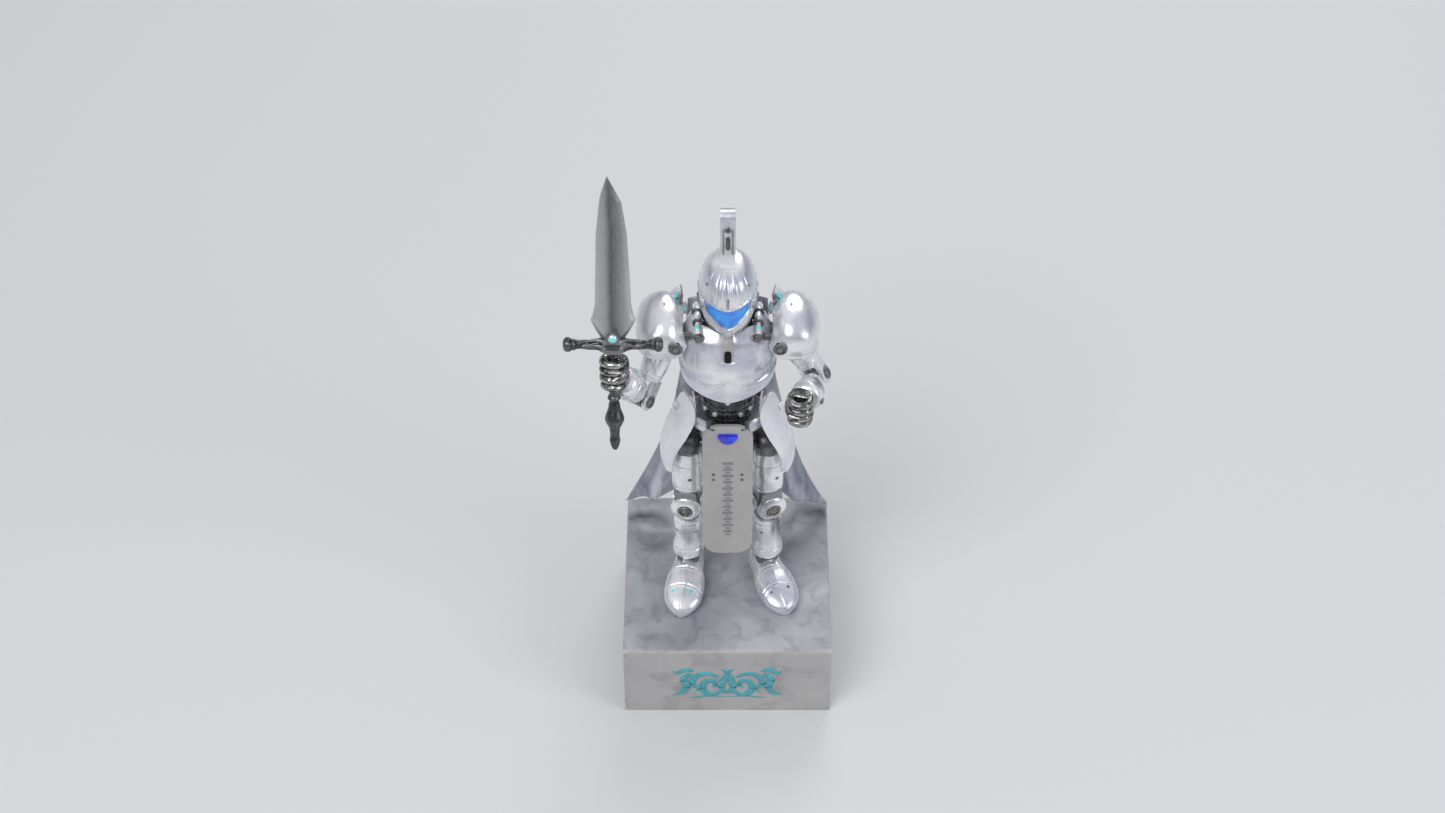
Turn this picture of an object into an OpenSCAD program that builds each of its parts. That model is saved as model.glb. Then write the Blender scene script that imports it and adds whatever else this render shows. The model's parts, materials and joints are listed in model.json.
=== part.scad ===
// Armoured knight action figure with a sword and a cloth cape, on a square display base.
// The origin is the centre of the base's underside; -Y is the way the figure faces.
// Every limb is built in its own joint frame and then put in the stored pose.

/* [Base] */
// Width and depth of the square base
base_w = 76; // [70:1:90]
// Height of the base
base_h = 34; // [30:1:40]
// Wall thickness of the hollow base
base_wall = 2.4; // [2:0.1:4]
// Radius of the two pegs that the figure stands on
peg_r = 1.5; // [1.2:0.1:1.6]

/* [Legs] */
// Distance from the centre line to each hip
hip_x = 14.3; // [14:0.1:15]
// Length of the thigh and of the shin, joint to joint
leg_link = 30; // [29:0.5:31]
// Height of the ankle joint above the sole
ankle_h = 11; // [10:0.5:12]
// Outward turn of the right leg
yaw_right = 8; // [4:1:12]
// Outward turn of the left leg
yaw_left = 20; // [12:1:24]

/* [Body] */
// Height of the waist joints above the hips
waist_rise = 29; // [28:0.5:30]
// Half width of the hanging tabard plate
tabard_half = 8.1; // [7:0.1:8.2]
// Height of the shoulders above the hips
shoulder_rise = 55; // [54:0.5:56]
// Distance from the centre line to each shoulder
shoulder_x = 20; // [19.5:0.1:20.5]
// Height of the temple rivets above the shoulders
temple_rise = 20.5; // [20:0.1:21]

/* [Sword] */
// Blade length above the crossguard
blade_l = 60; // [50:1:62]
// Backward lean of the sword from upright
sword_lean = 18; // [15:1:20]
// Height of the crossguard above the middle of the fist
guard_rise = 10.4; // [10:0.1:11]
// Half length of the crossguard
guard_half = 16.6; // [14:0.1:17]
// Radius of the grip where the fist holds it
grip_r = 1.5; // [1.3:0.1:1.6]

/* [Hidden] */
$fn = 48;

fit = 0.06;                                  // radial running clearance of a pin in its bore
gap = 0.35;                                  // clearance between pieces that pass each other
cut = 60;                                    // size of the blocks that trim shells
ankle_z = base_h + ankle_h;
knee_z = ankle_z + leg_link;
hip_z = knee_z + leg_link;
waist_z = hip_z + waist_rise;
shoulder_z = hip_z + shoulder_rise;
temple_z = shoulder_z + temple_rise;
neck_z = shoulder_z + 9.5;
tabard_hinge = [0, -13.2, hip_z + 19.2];
tasset_hinge_y = -2;
tasset_hinge_z = hip_z + 19.5;
pauldron_hinge = [17.5, 0, shoulder_z + 3];

// Joint centres of the stored arm poses: the right arm raises the sword, the left is bent.
shoulder_pt_right = [-shoulder_x, 0, shoulder_z];
elbow_pt_right = [-29.5, -13.5, shoulder_z - 20];
fist_pt_right = [-38, -24, shoulder_z + 2.6];
shoulder_pt_left = [shoulder_x, 0, shoulder_z];
elbow_pt_left = [30.8, -1, shoulder_z - 21.5];
fist_pt_left = [24.3, -24, shoulder_z - 14.5];

function unit(v) = v / norm(v);
// Superellipse ring at [x, y, z] with radii rx, ry and squareness p.
function ring(s, n) = [for (i = [0:n - 1]) let (a = 360 * i / n, c = cos(a), d = sin(a))
    [s[0] + s[3] * sign(c) * pow(abs(c), 2 / s[5]),
     s[1] + s[4] * sign(d) * pow(abs(d), 2 / s[5]), s[2]]];

// Closed skin over a stack of rings, each [x, y, z, rx, ry, squareness].
module loft(stack, n = 24) {
    points = [for (s = stack) each ring(s, n)];
    last = (len(stack) - 1) * n;
    sides = [for (k = [0:len(stack) - 2], i = [0:n - 1]) let (j = (i + 1) % n, b = k * n)
        each [[b + i, b + i + n, b + j], [b + j, b + i + n, b + j + n]]];
    ends = [[for (i = [0:n - 1]) i], [for (i = [n - 1:-1:0]) last + i]];
    polyhedron(points, concat(sides, ends), convexity = 6);
}

// Puts children into the frame at o whose X is along x and whose Z is along z.
module in_frame(o, x, z) {
    ez = unit(z);
    ex = unit(x - (x * ez) * ez);
    ey = cross(ez, ex);
    multmatrix([[ex[0], ey[0], ez[0], o[0]], [ex[1], ey[1], ez[1], o[1]],
                [ex[2], ey[2], ez[2], o[2]], [0, 0, 0, 1]]) children();
}

module along_x(r, x0, x1) translate([x0, 0, 0]) rotate([0, 90, 0]) cylinder(r = r, h = x1 - x0);
module along_y(r, y0, y1) translate([0, y0, 0]) rotate([-90, 0, 0]) cylinder(r = r, h = y1 - y0);
module block(low, high) translate(low) cube(high - low);
module front_half() intersection() { children(); block([-cut, -2 * cut, 0], [cut, 0, 5 * cut]); }
module back_half() intersection() { children(); block([-cut, 0, 0], [cut, 2 * cut, 5 * cut]); }

// Frame of a leg at height z: X runs along its joint pins.
module leg_frame(side, z) translate([side * hip_x, 0, z])
    rotate([0, 0, side < 0 ? -yaw_right : yaw_left]) children();

// ---- Base ----
screw_at = base_w / 2 - 8;
cover_t = 2.4;

module each_corner() for (x = [-1, 1], y = [-1, 1]) translate([x * screw_at, y * screw_at, 0]) children();

module foot_peg_spot(side) leg_frame(side, 0) translate([0, -4, 0]) children();

module base_block() color("gray") difference() {
    union() {
        difference() {
            block([-base_w / 2, -base_w / 2, 0], [base_w / 2, base_w / 2, base_h]);
            block([-1, -1, 0] * (base_w / 2 - base_wall) + [0, 0, -1],
                  [base_w / 2 - base_wall, base_w / 2 - base_wall, base_h - 3.4]);
        }
        each_corner() translate([0, 0, cover_t]) cylinder(r = 3.6, h = base_h - cover_t - 3);
    }
    each_corner() translate([0, 0, cover_t - 1]) cylinder(r = 1.2, h = 12);
    for (side = [-1, 1]) foot_peg_spot(side) translate([0, 0, base_h - 3]) cylinder(r = peg_r, h = 4);
    block([-20.6, -base_w / 2 - 1, 7.4], [20.6, -base_w / 2 + 0.8, 24.6]);
}

module base_cover() color("dimgray") difference() {
    block([-1, -1, 0] * (base_w / 2 - base_wall - 0.1),
          [base_w / 2 - base_wall - 0.1, base_w / 2 - base_wall - 0.1, cover_t]);
    each_corner() translate([0, 0, -1]) cylinder(r = 1.5, h = cover_t + 2);
    each_corner() translate([0, 0, -1]) cylinder(r = 2.5, h = 2.2);
}

module base_screws() color("silver") each_corner() {
    translate([0, 0, 0.3]) cylinder(r = 2.3, h = 0.9);
    translate([0, 0, 0.3]) cylinder(r = 1.2, h = 10);
}

module foot_pegs() color("dimgray") for (side = [-1, 1]) foot_peg_spot(side)
    translate([0, 0, base_h - 3]) cylinder(r = peg_r, h = 3 + 4);

// Symmetric scroll ornament set in the front face, one closed plate.
module base_emblem() color("darkturquoise") translate([0, -base_w / 2 + 0.8, 16]) rotate([90, 0, 0])
    linear_extrude(1.1) {
        square([41, 1.8], center = true);
        for (m = [-1, 1]) scale([m, 1]) {
            polygon([[0, 0], [4.5, 5], [0, 8.4]]);
            polygon([[0, 0], [4.5, -5], [0, -8.4]]);
            translate([8.5, 0]) difference() { circle(5.2); circle(3.2); }
            polygon([[13, -0.8], [20, 6], [17.6, -0.8]]);
            polygon([[13, 0.8], [20, -6], [17.6, 0.8]]);
        }
    }

// ---- Pelvis and what hangs from it ----
hip_pin_r = 1.8;

module pelvis_core() color("dimgray") difference() {
    loft([[0, 0.5, hip_z - 7, 4.5, 4.2, 2.6], [0, 0.5, hip_z - 3, 7.2, 5.6, 3],
          [0, 0.5, hip_z + 6, 7.6, 6, 3], [0, 0, hip_z + 10, 10.5, 8, 2.6],
          [0, 0, hip_z + 15.4, 11.5, 8.6, 2.2]]);
    translate([0, 0, hip_z + 6]) cylinder(r = 3, h = 20);
    for (side = [-1, 1]) leg_frame(side, hip_z) along_x(hip_pin_r, -hip_x, hip_x);
}

module hip_pins() color("gray") for (side = [-1, 1]) leg_frame(side, hip_z)
    if (side < 0) { along_x(hip_pin_r, -4.8, 9.5); along_x(3, -5.4, -4.8); }
    else { along_x(hip_pin_r, -9.5, 4.8); along_x(3, 4.8, 5.4); }

module belt_plate() color("silver") difference() {
    loft([[0, 0, hip_z + 11.5, 12.6, 9.6, 2.3], [0, 0, hip_z + 14, 14, 10.8, 2.3],
          [0, 0, hip_z + 18, 14.4, 11.2, 2.3], [0, 0, hip_z + 20.4, 13.6, 10.6, 2.3]], 28);
    loft([[0, 0, hip_z + 5, 10, 7.4, 2.4], [0, 0, hip_z + 15.4, 11.5, 8.6, 2.2]]);
    translate([0, 0, hip_z + 15]) cylinder(r = 9.7, h = 12);
    for (m = [-1, 1]) translate([m * 14.4, tasset_hinge_y, tasset_hinge_z])
        cube([6.6, 9, 8], center = true);
    translate(tabard_hinge) block([-4.4, -4, -2.6], [4.4, 2.4, 2.6]);
    translate(tabard_hinge) block([-12, -4, -3], [12, 0.9, 6]);
}

module tasset_pins() color("gray") for (m = [-1, 1]) translate([0, tasset_hinge_y, tasset_hinge_z]) {
    if (m > 0) { along_x(0.8, 10.2, 18.8); along_x(1.5, 18.8, 19.4); along_x(1.6, 10.2, 14); }
    else { along_x(0.8, -18.8, -10.2); along_x(1.5, -19.4, -18.8); along_x(1.6, -14, -10.2); }
}

module tabard_pin() color("gray") translate(tabard_hinge) {
    along_x(0.8, -7, 7);
    for (m = [-1, 1]) translate([m * 6, 0, 0]) block([-1.4, -0.8, -1], [1.4, 3.4, 1]);
}

// The tabard hangs on a short pin across the front of the belt.
module tabard_frame() translate(tabard_hinge) children();

module tabard_plate() color("lightgray") tabard_frame() difference() {
    union() {
        rotate([-2.5, 0, 0]) translate([0, 0, -30]) rotate([90, 0, 0]) linear_extrude(1.6, center = true)
            hull() for (x = [-1, 1], z = [-1, 1])
                translate([x * (tabard_half - 2.6), z * 29.5]) circle(2.6);
        along_x(1.5, -4, 4);
    }
    for (m = [-1, 1]) translate([m * 6, 0, 0]) block([-1.8, -3, -1.6], [1.8, 3, 4]);
    along_x(0.8 + fit, -10, 10);
    rotate([-2.5, 0, 0]) translate([0, -0.35, -3.5]) gem_shape(1, 0.1);
}

module gem_shape(depth, grow = 0) rotate([90, 0, 0]) linear_extrude(depth)
    polygon([[-3.6 - grow, 2.2 + grow], [3.6 + grow, 2.2 + grow], [4 + grow, 0.4], [1.7, -2.3 - grow],
             [-1.7, -2.3 - grow], [-4 - grow, 0.4]]);

module tabard_gem() color("blue") tabard_frame() rotate([-2.5, 0, 0])
    translate([0, -0.35, -3.5]) gem_shape(1.3);

// Four small rivets and a ladder of plain raised bars down the middle of the tabard.
module tabard_studs() color("gray") tabard_frame() rotate([-2.5, 0, 0]) translate([0, -0.8, 0]) {
    for (x = [-5, 5], z = [-21, -23.4]) translate([x, 0, z]) along_y(0.55, -0.45, 0);
    for (i = [0:10]) translate([0, -0.15, -16 - 2.9 * i])
        cube([2.4 - 0.8 * (i % 2), 0.3, 1.3], center = true);
}

// Petal-shaped hip plate, hinged under the belt; side is -1 on the right, 1 on the left.
module tasset(side) color("white") mirror([side < 0 ? 1 : 0, 0, 0]) difference() {
    intersection() {
        difference() {
            petal_tube(0);
            petal_tube(1.4);
        }
        translate([17, 0, hip_z + 11]) rotate([90, 0, 25]) linear_extrude(40, center = true)
            polygon(concat([for (a = [-60:15:60]) [9.4 * sin(a) * 0.55, 14 + 3.6 * cos(a)]],
                           [[7.2, 8], [7.6, 0], [6.6, -8], [4, -15], [0.8, -19.6], [-1.2, -19],
                            [-4.6, -12], [-6.4, -4], [-6.6, 4], [-6, 10]]));
        translate([0, -30, hip_z - 12]) cube([40, 36, 50]);
    }
    translate([0, tasset_hinge_y, tasset_hinge_z]) along_x(0.8 + fit, 8, 30);
}

// Outline tube that the hip plates are cut from, shrunk by t.
module petal_tube(t) loft([
    [10, 2, hip_z - 12, 14.5 - t, 12.5 - t, 2.2], [10, 2, hip_z, 14 - t, 12 - t, 2.2],
    [9, 1, hip_z + 12, 12 - t, 11.6 - t, 2.2], [8, 1, hip_z + 22, 9.4 - t, 10.2 - t, 2.2],
    [8, 1, hip_z + 32, 8 - t, 9 - t, 2.2]], 32);

// ---- Waist ----
module abdomen_bowl() color("dimgray") difference() {
    union() {
        translate([0, 0, hip_z + 15.75]) rotate_extrude() polygon([[0, 0], [8.2, 0], [9.2, 3.5], [9.3, 9],
            [8.3, 9.6], [8.9, 10.4], [9.2, 12], [8, 13.2], [5, 13.8], [0, 13.8]]);
        translate([0, 0, hip_z + 9]) cylinder(r = 3 - fit, h = 8);
        translate([0, 0, waist_z]) along_x(3.4, -3, 3);
    }
    translate([0, 0, waist_z]) along_x(1.2 + fit, -12, 12);
    for (m = [0, 1]) mirror([m, 0, 0]) translate([0, 0, waist_z]) {
        along_x(3.6, 3, 5.6);
        block([3, -4.4, 0], [5.6, 4.4, 6]);
    }
}

module torso_core() color("dimgray") difference() {
    union() {
        loft([[0, 0, waist_z + 5, 7.5, 6, 3], [0, 0, waist_z + 9, 9, 6.5, 3],
              [0, 0, shoulder_z + 1, 9.5, 6.5, 3], [0, 0, shoulder_z + 3.5, 6, 5.5, 2.5]]);
        for (m = [-1, 1]) translate([0, 0, waist_z]) {
            if (m > 0) along_x(3.2, 3.35, 5.2); else along_x(3.2, -5.2, -3.35);
            block([m > 0 ? 3.35 : -5.2, -3.2, 0], [m > 0 ? 5.2 : -3.35, 3.2, 6]);
        }
        translate([0, 0, waist_z]) along_x(1.2, -5, 5);
        translate([0, 0, shoulder_z]) along_x(3.5, -14, 14);
        block([-3, -10.2, waist_z + 12], [3, 10.2, waist_z + 15]);
    }
    translate([0, 0, shoulder_z]) along_x(2.2 + fit, -30, 30);
    translate([0, 0, neck_z]) sphere(r = 3.3);
    translate([0, 0, neck_z]) cylinder(r1 = 2.5, r2 = 8, h = 8);
}

// ---- Armour of the chest ----
module chest_form(t) loft([
    [0, -1.5, waist_z + 1, 11.5 + t, 10.4 + t, 2.2], [0, -1.5, waist_z + 5, 14 + t, 12 + t, 2.3],
    [0, -1.2, waist_z + 11, 16.4 + t, 12.9 + t, 2.4], [0, -0.6, waist_z + 17, 15.8 + t, 12.8 + t, 2.5],
    [0, 0, shoulder_z - 3.5, 14.6 + t, 12 + t, 2.6], [0, 0.4, shoulder_z + 2, 14.2 + t, 10.2 + t, 2.6],
    [0, 0.8, shoulder_z + 5.2, 11.8 + t, 7.6 + t, 2.4], [0, 1, shoulder_z + 6.4, 9.4 + t, 6 + t, 2.2]], 32);

module chest_hollow() loft([[0, -1.5, waist_z - 1, 12.6, 9.8, 2.4], [0, -1, waist_z + 11, 13.6, 10.6, 2.4],
    [0, -0.5, waist_z + 17, 13.8, 10.8, 2.5], [0, 0, shoulder_z - 3, 12.6, 10, 2.6],
    [0, 0, shoulder_z + 2.6, 11, 8, 2.6], [0, 1, shoulder_z + 4.4, 7.6, 5.4, 2.4]], 24);

// Everything below the V-shaped lower edge of the chest, rising by slope towards the sides.
module below_v(z, slope) translate([0, 0, z]) rotate([90, 0, 0]) linear_extrude(80, center = true)
    polygon([[-30, -20], [30, -20], [30, 30 * slope], [0, 0], [-30, 30 * slope]]);

module chest_openings() {
    translate([0, 0, shoulder_z]) along_x(4.4, -30, 30);
    translate([0, 0, shoulder_z + 3.5]) cylinder(r = 8.7, h = 20);
}

module breast_plate() color("silver") front_half() difference() {
    chest_form(0);
    chest_hollow();
    below_v(waist_z + 3.6, 0.33);
    chest_openings();
    block([-1.9, -30, waist_z + 14], [1.9, -8, shoulder_z + 3.7]);
}

module belly_plate() color("silver") difference() {
    intersection() {
        difference() { chest_form(0.7); chest_form(0); }
        below_v(waist_z + 11, 0.42);
        translate([-cut, -cut - 4, 0]) cube([2 * cut, cut, 5 * cut]);
    }
    below_v(waist_z + 3, 0.33);
}

module chest_stripe() color("gray") intersection() {
    difference() { chest_form(0.25); chest_form(-1.6); }
    block([-1.8, -30, waist_z + 14.1], [1.8, -8, shoulder_z + 3.6]);
}

module back_plate() color("silver") back_half() difference() {
    chest_form(0);
    chest_hollow();
    below_v(waist_z + 5, 0.1);
    chest_openings();
}

module collar_ring() color("dimgray") translate([0, 0, shoulder_z]) difference() {
    rotate_extrude() polygon([[6.4, 3.6], [8, 3.6], [8.6, 6], [8.2, 7], [7, 7], [6.4, 6]]);
    translate([-3, -12, 5.4]) cube([6, 8, 4]);
}

// ---- Cape: a plain closed sheet behind the figure, from the shoulders to the ankles ----
cape_t = 1.4;
cape_top_z = shoulder_z + 4;
function cape_half(u) = 13.6 + 10 * pow(u, 1.2) + 14.6 * pow(u, 3);
function cape_y(u, s) = 12.6 + 16.6 * pow(u, 1.4) - 1.4 * s * s * (1 - u)
    + 2.4 * sin(720 * s + 90) * u * u;
function cape_z(u, s) = cape_top_z - u * (cape_top_z - base_h - 14) - 6 * s * s * u * u
    - 1.6 * s * s * (1 - u);

cape_rows = 14;
cape_cols = 20;
function cape_at(side, j, i) = side * (cape_cols + 1) * (cape_rows + 1) + j * (cape_cols + 1) + i;

module cape() color("lightslategray") {
    skin = [for (side = [0, 1], j = [0:cape_rows], i = [0:cape_cols])
        let (u = j / cape_rows, s = 2 * i / cape_cols - 1)
        [s * cape_half(u), cape_y(u, s) + side * cape_t, cape_z(u, s)]];
    quads = concat(
        [for (j = [0:cape_rows - 1], i = [0:cape_cols - 1])
            [cape_at(0, j, i), cape_at(0, j, i + 1), cape_at(0, j + 1, i + 1), cape_at(0, j + 1, i)]],
        [for (j = [0:cape_rows - 1], i = [0:cape_cols - 1])
            [cape_at(1, j, i), cape_at(1, j + 1, i), cape_at(1, j + 1, i + 1), cape_at(1, j, i + 1)]],
        [for (i = [0:cape_cols - 1]) let (j = cape_rows) each [
            [cape_at(0, 0, i), cape_at(1, 0, i), cape_at(1, 0, i + 1), cape_at(0, 0, i + 1)],
            [cape_at(0, j, i), cape_at(0, j, i + 1), cape_at(1, j, i + 1), cape_at(1, j, i)]]],
        [for (j = [0:cape_rows - 1]) let (i = cape_cols) each [
            [cape_at(0, j, 0), cape_at(0, j + 1, 0), cape_at(1, j + 1, 0), cape_at(1, j, 0)],
            [cape_at(0, j, i), cape_at(1, j, i), cape_at(1, j + 1, i), cape_at(0, j + 1, i)]]]);
    polyhedron(skin, [for (q = quads) each [[q[0], q[1], q[2]], [q[0], q[2], q[3]]]], convexity = 8);
}

module cape_studs() color("gray") for (m = [-1, 1]) translate([m * 8, 0, shoulder_z + 0.4]) {
    along_y(1, 8.6, 13.4);
    along_y(1.7, 13.6, 14.6);
}

// ---- Head ----
module neck_link() color("dimgray") difference() {
    union() {
        translate([0, 0, neck_z]) sphere(r = 3.3 - fit);
        translate([0, 0, neck_z + 1]) cylinder(r = 2, h = 7.4);
    }
    translate([0, 0, neck_z]) along_x(0.7, -5, 5);
}

// Solid of revolution about the temple axis, radius r at the middle and half width w.
module skull_form(w, r) translate([0, 0, temple_z]) rotate([0, 90, 0]) rotate_extrude()
    polygon(concat([[0, -w]], [for (a = [-75:15:75]) [r * cos(a), w * sin(a)]], [[0, w]]));

// Outline of the whole helmet, grown by t.
module helmet_form(t) translate([0, 0, temple_z]) loft([
    [0, -2, -11.3, 6.2 + t, 11 + t, 2.1], [0, -1.4, -8, 8.4 + t, 11.6 + t, 2.1],
    [0, -0.4, -2, 9.5 + t, 12 + t, 2.1], [0, 0, 3, 9.2 + t, 11.8 + t, 2.1],
    [0, 0.3, 7, 7.8 + t, 10.2 + t, 2.1], [0, 0.5, 9.8, 5.4 + t, 7 + t, 2],
    [0, 0.5, 11, 2.2 + t, 3 + t, 2]], 28);

// Everything in front of the temples inside an [x, z] outline.
module face_prism(outline) translate([0, -3, temple_z]) rotate([90, 0, 0]) linear_extrude(20)
    polygon(outline);

// Everything in front of the temples above the V-shaped lower edge of the brow plate, lowered by drop.
module above_brow(drop) face_prism([[-20, 20], [-20, 1.5 - drop], [-9.5, 1.5 - drop], [0, -1 - drop],
    [9.5, 1.5 - drop], [20, 1.5 - drop], [20, 20]]);

// U-shaped opening for the eyes, shrunk by t.
module face_window(t) face_prism([[t - 7.9, 3], [t - 7.9, 0.2], [t - 6.6, -4.1], [t / 2 - 3.6, t - 6.4],
    [0, t - 8.3], [3.6 - t / 2, t - 6.4], [6.6 - t, -4.1], [7.9 - t, 0.2], [7.9 - t, 3]]);

module helmet() color("silver") difference() {
    union() {
        skull_form(8.4, 9.4);
        intersection() {
            translate([0, 0, temple_z]) rotate_extrude()
                polygon([[3, -11.2], [8, -11.2], [9.2, -8.4], [9.5, -5.2], [8.8, -3.8], [3, -5]]);
            block([-30, -1.5, temple_z - 12], [30, 30, temple_z]);
        }
    }
    translate([0, 0, temple_z - 20]) cylinder(r = 2 + fit, h = 18.8);
    translate([0, 0, temple_z - 20]) cylinder(r = 5.4, h = 13.2);
    for (m = [0, 1]) mirror([m, 0, 0]) translate([0, 0, temple_z]) along_x(1.2, 6.5, 20);
}

module eye_lens() color("deepskyblue") difference() {
    intersection() {
        helmet_form(-0.5);
        face_window(0.1);
    }
    skull_form(8.45, 9.45);
    above_brow(gap);
}

module jaw_plate() color("silver") difference() {
    intersection() {
        helmet_form(0.5);
        block([-30, -30, temple_z - 11.2], [30, -1.9, temple_z + 1.4]);
    }
    skull_form(8.45, 9.45);
    above_brow(gap);
    face_window(0);
    translate([0, 0, temple_z]) along_x(4, -20, 20);
    translate([0, 0, temple_z - 20]) cylinder(r = 5.4, h = 20);
}

module temple_rivets() color("gray") translate([0, 0, temple_z]) {
    along_x(1.2, 6.6, 10.1);
    along_x(1.8, 10.1, 10.8);
    along_x(1.2, -10.1, -6.6);
    along_x(1.8, -10.8, -10.1);
}

// Hinged upper shell of the helmet, with a V-shaped lower edge over the eyes.
module brow_plate() color("silver") difference() {
    union() {
        helmet_form(0.3);
        for (x = [-3.8, 0, 3.8]) intersection() {
            helmet_form(0.9);
            translate([x, -8, temple_z + 6]) rotate([0, x * 1.6, 0]) cube([1.4, 20, 30], center = true);
        }
    }
    skull_form(8.4 + gap / 2, 9.4 + gap);
    difference() {
        face_prism([[-20, -20], [20, -20], [20, 20], [-20, 20]]);
        above_brow(0);
    }
    block([-30, -30, temple_z - 20], [30, 30, temple_z - 1.9]);
    translate([0, 0, temple_z]) rotate([0, 90, 0]) linear_extrude(60, center = true)
        polygon([[20, 1.9], [-1.5, 1.9], [-2.5, 30], [20, 30]]);
    translate([0, 0, temple_z]) along_x(1.2 + fit, -20, 20);
}

module crest() color("silver") difference() {
    translate([0, 0, temple_z]) rotate([90, 0, 90]) linear_extrude(5, center = true)
        polygon([[-4.8, 8.2], [-4.2, 11], [-1, 13.8], [3.2, 25.6], [5.2, 27.4], [8.2, 26.8], [9, 24.6],
                 [6.6, 15.2], [5.2, 11.4], [5.4, 8.6]]);
    helmet_form(-0.2);
    translate([0, 4, temple_z + 21.5]) along_x(1.2, -10, 10);
}

// ---- Shoulders ----
module pauldron_form(t) translate([0, -0.5, shoulder_z + 3.6]) loft([
    [22.4, 0, -8, 6.6 - t, 9 - t, 2.2], [22.6, 0, -5, 8 - t, 11.4 - t, 2.2],
    [22.6, 0, -1, 8.6 - t, 12.6 - t, 2.2], [22.3, 0, 3, 7.9 - t, 11.8 - t, 2.2],
    [21.8, 0, 6 - t / 3, 6 - t * 0.9, 9.2 - t, 2.1], [21.4, 0, 8 - t, 3.2 - t * 0.8, 5 - t, 2]], 28);

// Egg-shaped shoulder shell, open at the inner side and underneath.
module pauldron(side) color("silver") mirror([side < 0 ? 1 : 0, 0, 0]) difference() {
    pauldron_form(0);
    difference() {
        translate([0, 0, -0.01]) pauldron_form(1.5);
        block([0, -30, 0], [40, -11.2, 300]);
    }
    block([0, -30, shoulder_z - 10], [15.4, 30, shoulder_z + 20]);
    block([0, -30, shoulder_z - 10], [40, 30, shoulder_z - 1.4]);
    block([12, -8.6, shoulder_z - 4], [18, 9, shoulder_z + 8.2]);
    translate(pauldron_hinge) along_y(1.5 + fit, -30, 0);
}

// One hinge bolt for each shoulder shell, held in a lug at the front corner of the chest.
module pauldron_bolts() color("dimgray") for (m = [-1, 1])
    translate([m * pauldron_hinge[0], 0, pauldron_hinge[2]]) {
        along_y(1.5, -13.6, -5);
        along_y(2.5, -14.6, -13.4);
        translate([m * -1.9, 0, 0]) block([-3.6, -8.3, -2], [3.6, -5.2, 2]);
    }

module fin_plate(side) color("silver") mirror([side < 0 ? 1 : 0, 0, 0])
    translate([17.6, 5, shoulder_z + 8.6]) rotate([90, -10, 20]) linear_extrude(2.2)
        polygon([[-1.6, 0], [4, 0], [3, 3], [-0.4, 8.6], [-1.8, 4]]);

// ---- Arms: each in the frame of its own joints ----
function shoulder_pt(s) = s < 0 ? shoulder_pt_right : shoulder_pt_left;
function elbow_pt(s) = s < 0 ? elbow_pt_right : elbow_pt_left;
function fist_pt(s) = s < 0 ? fist_pt_right : fist_pt_left;
function bend_axis(s) = unit(cross(elbow_pt(s) - shoulder_pt(s), fist_pt(s) - elbow_pt(s)));
function raise_axis(s) = unit(cross([1, 0, 0], elbow_pt(s) - shoulder_pt(s)));

hub_room = 4.75;                             // radius of the hollow round the shoulder hub
module shoulder_hub(s) color("dimgray") {
    translate(shoulder_pt(s)) if (s < 0) along_x(2.2, 0.4, 9); else along_x(2.2, -9, -0.4);
    in_frame(shoulder_pt(s), raise_axis(s), shoulder_pt(s) - elbow_pt(s)) {
        along_x(4.2, -2.2, 2.2);
        along_x(1.3, -4.4, 4.4);
    }
}

module upper_arm(s) color("silver") {
    length = norm(elbow_pt(s) - shoulder_pt(s));
    difference() {
        in_frame(shoulder_pt(s), raise_axis(s), shoulder_pt(s) - elbow_pt(s)) difference() {
            union() {
                along_x(3.6, -4.4, -2.5);
                along_x(3.6, 2.5, 4.4);
                block([-4.4, -3.4, -7], [-2.5, 3.4, 0]);
                block([2.5, -3.4, -7], [4.4, 3.4, 0]);
                loft([[0, 0, -length + 6.8, 3.9, 3.6, 2.3], [0, 0, -13, 4.8, 4.6, 2.2],
                      [0, 0, -8, 4.9, 4.7, 2.2], [0, 0, -5.4, 4.4, 4.2, 2.2]]);
            }
            along_x(1.3 + fit, -10, 10);
        }
        translate(shoulder_pt(s)) sphere(r = hub_room);
    }
    in_frame(elbow_pt(s), bend_axis(s), shoulder_pt(s) - elbow_pt(s)) difference() {
        union() for (m = [0, 1]) mirror([m, 0, 0]) {
            along_x(3.3, 2.1, 3.8);
            block([2.1, -2.9, 0], [3.8, 2.9, 7.4]);
        }
        along_x(1.1, -10, 10);
    }
}

module elbow_pin(s) color("dimgray")
    in_frame(elbow_pt(s), bend_axis(s), shoulder_pt(s) - elbow_pt(s)) {
        along_x(1.1, -3.8, 3.8);
        along_x(2.2, 3.8, 4.5);
        along_x(2.2, -4.5, -3.8);
    }

module forearm(s) color("silver") {
    reach = norm(fist_pt(s) - elbow_pt(s));
    in_frame(elbow_pt(s), bend_axis(s), fist_pt(s) - elbow_pt(s)) difference() {
        union() {
            along_x(2.9, -1.9, 1.9);
            block([-1.9, -2.4, 0], [1.9, 2.4, 6]);
            loft([[0, 0, 4.9, 3.4, 3.2, 2.3], [0, 0, 8, 4.6, 4.3, 2.3], [0, 0, reach - 10.5, 4.9, 4.5, 2.4],
                  [0, 0, reach - 8.2, 4.1, 3.8, 2.4], [0, 0, reach - 7.2, 3, 2.9, 2.4]]);
            translate([0, 0, reach - 7.4]) cylinder(r = 1.5, h = 3.6);
        }
        along_x(1.1 + fit, -10, 10);
    }
}

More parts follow.
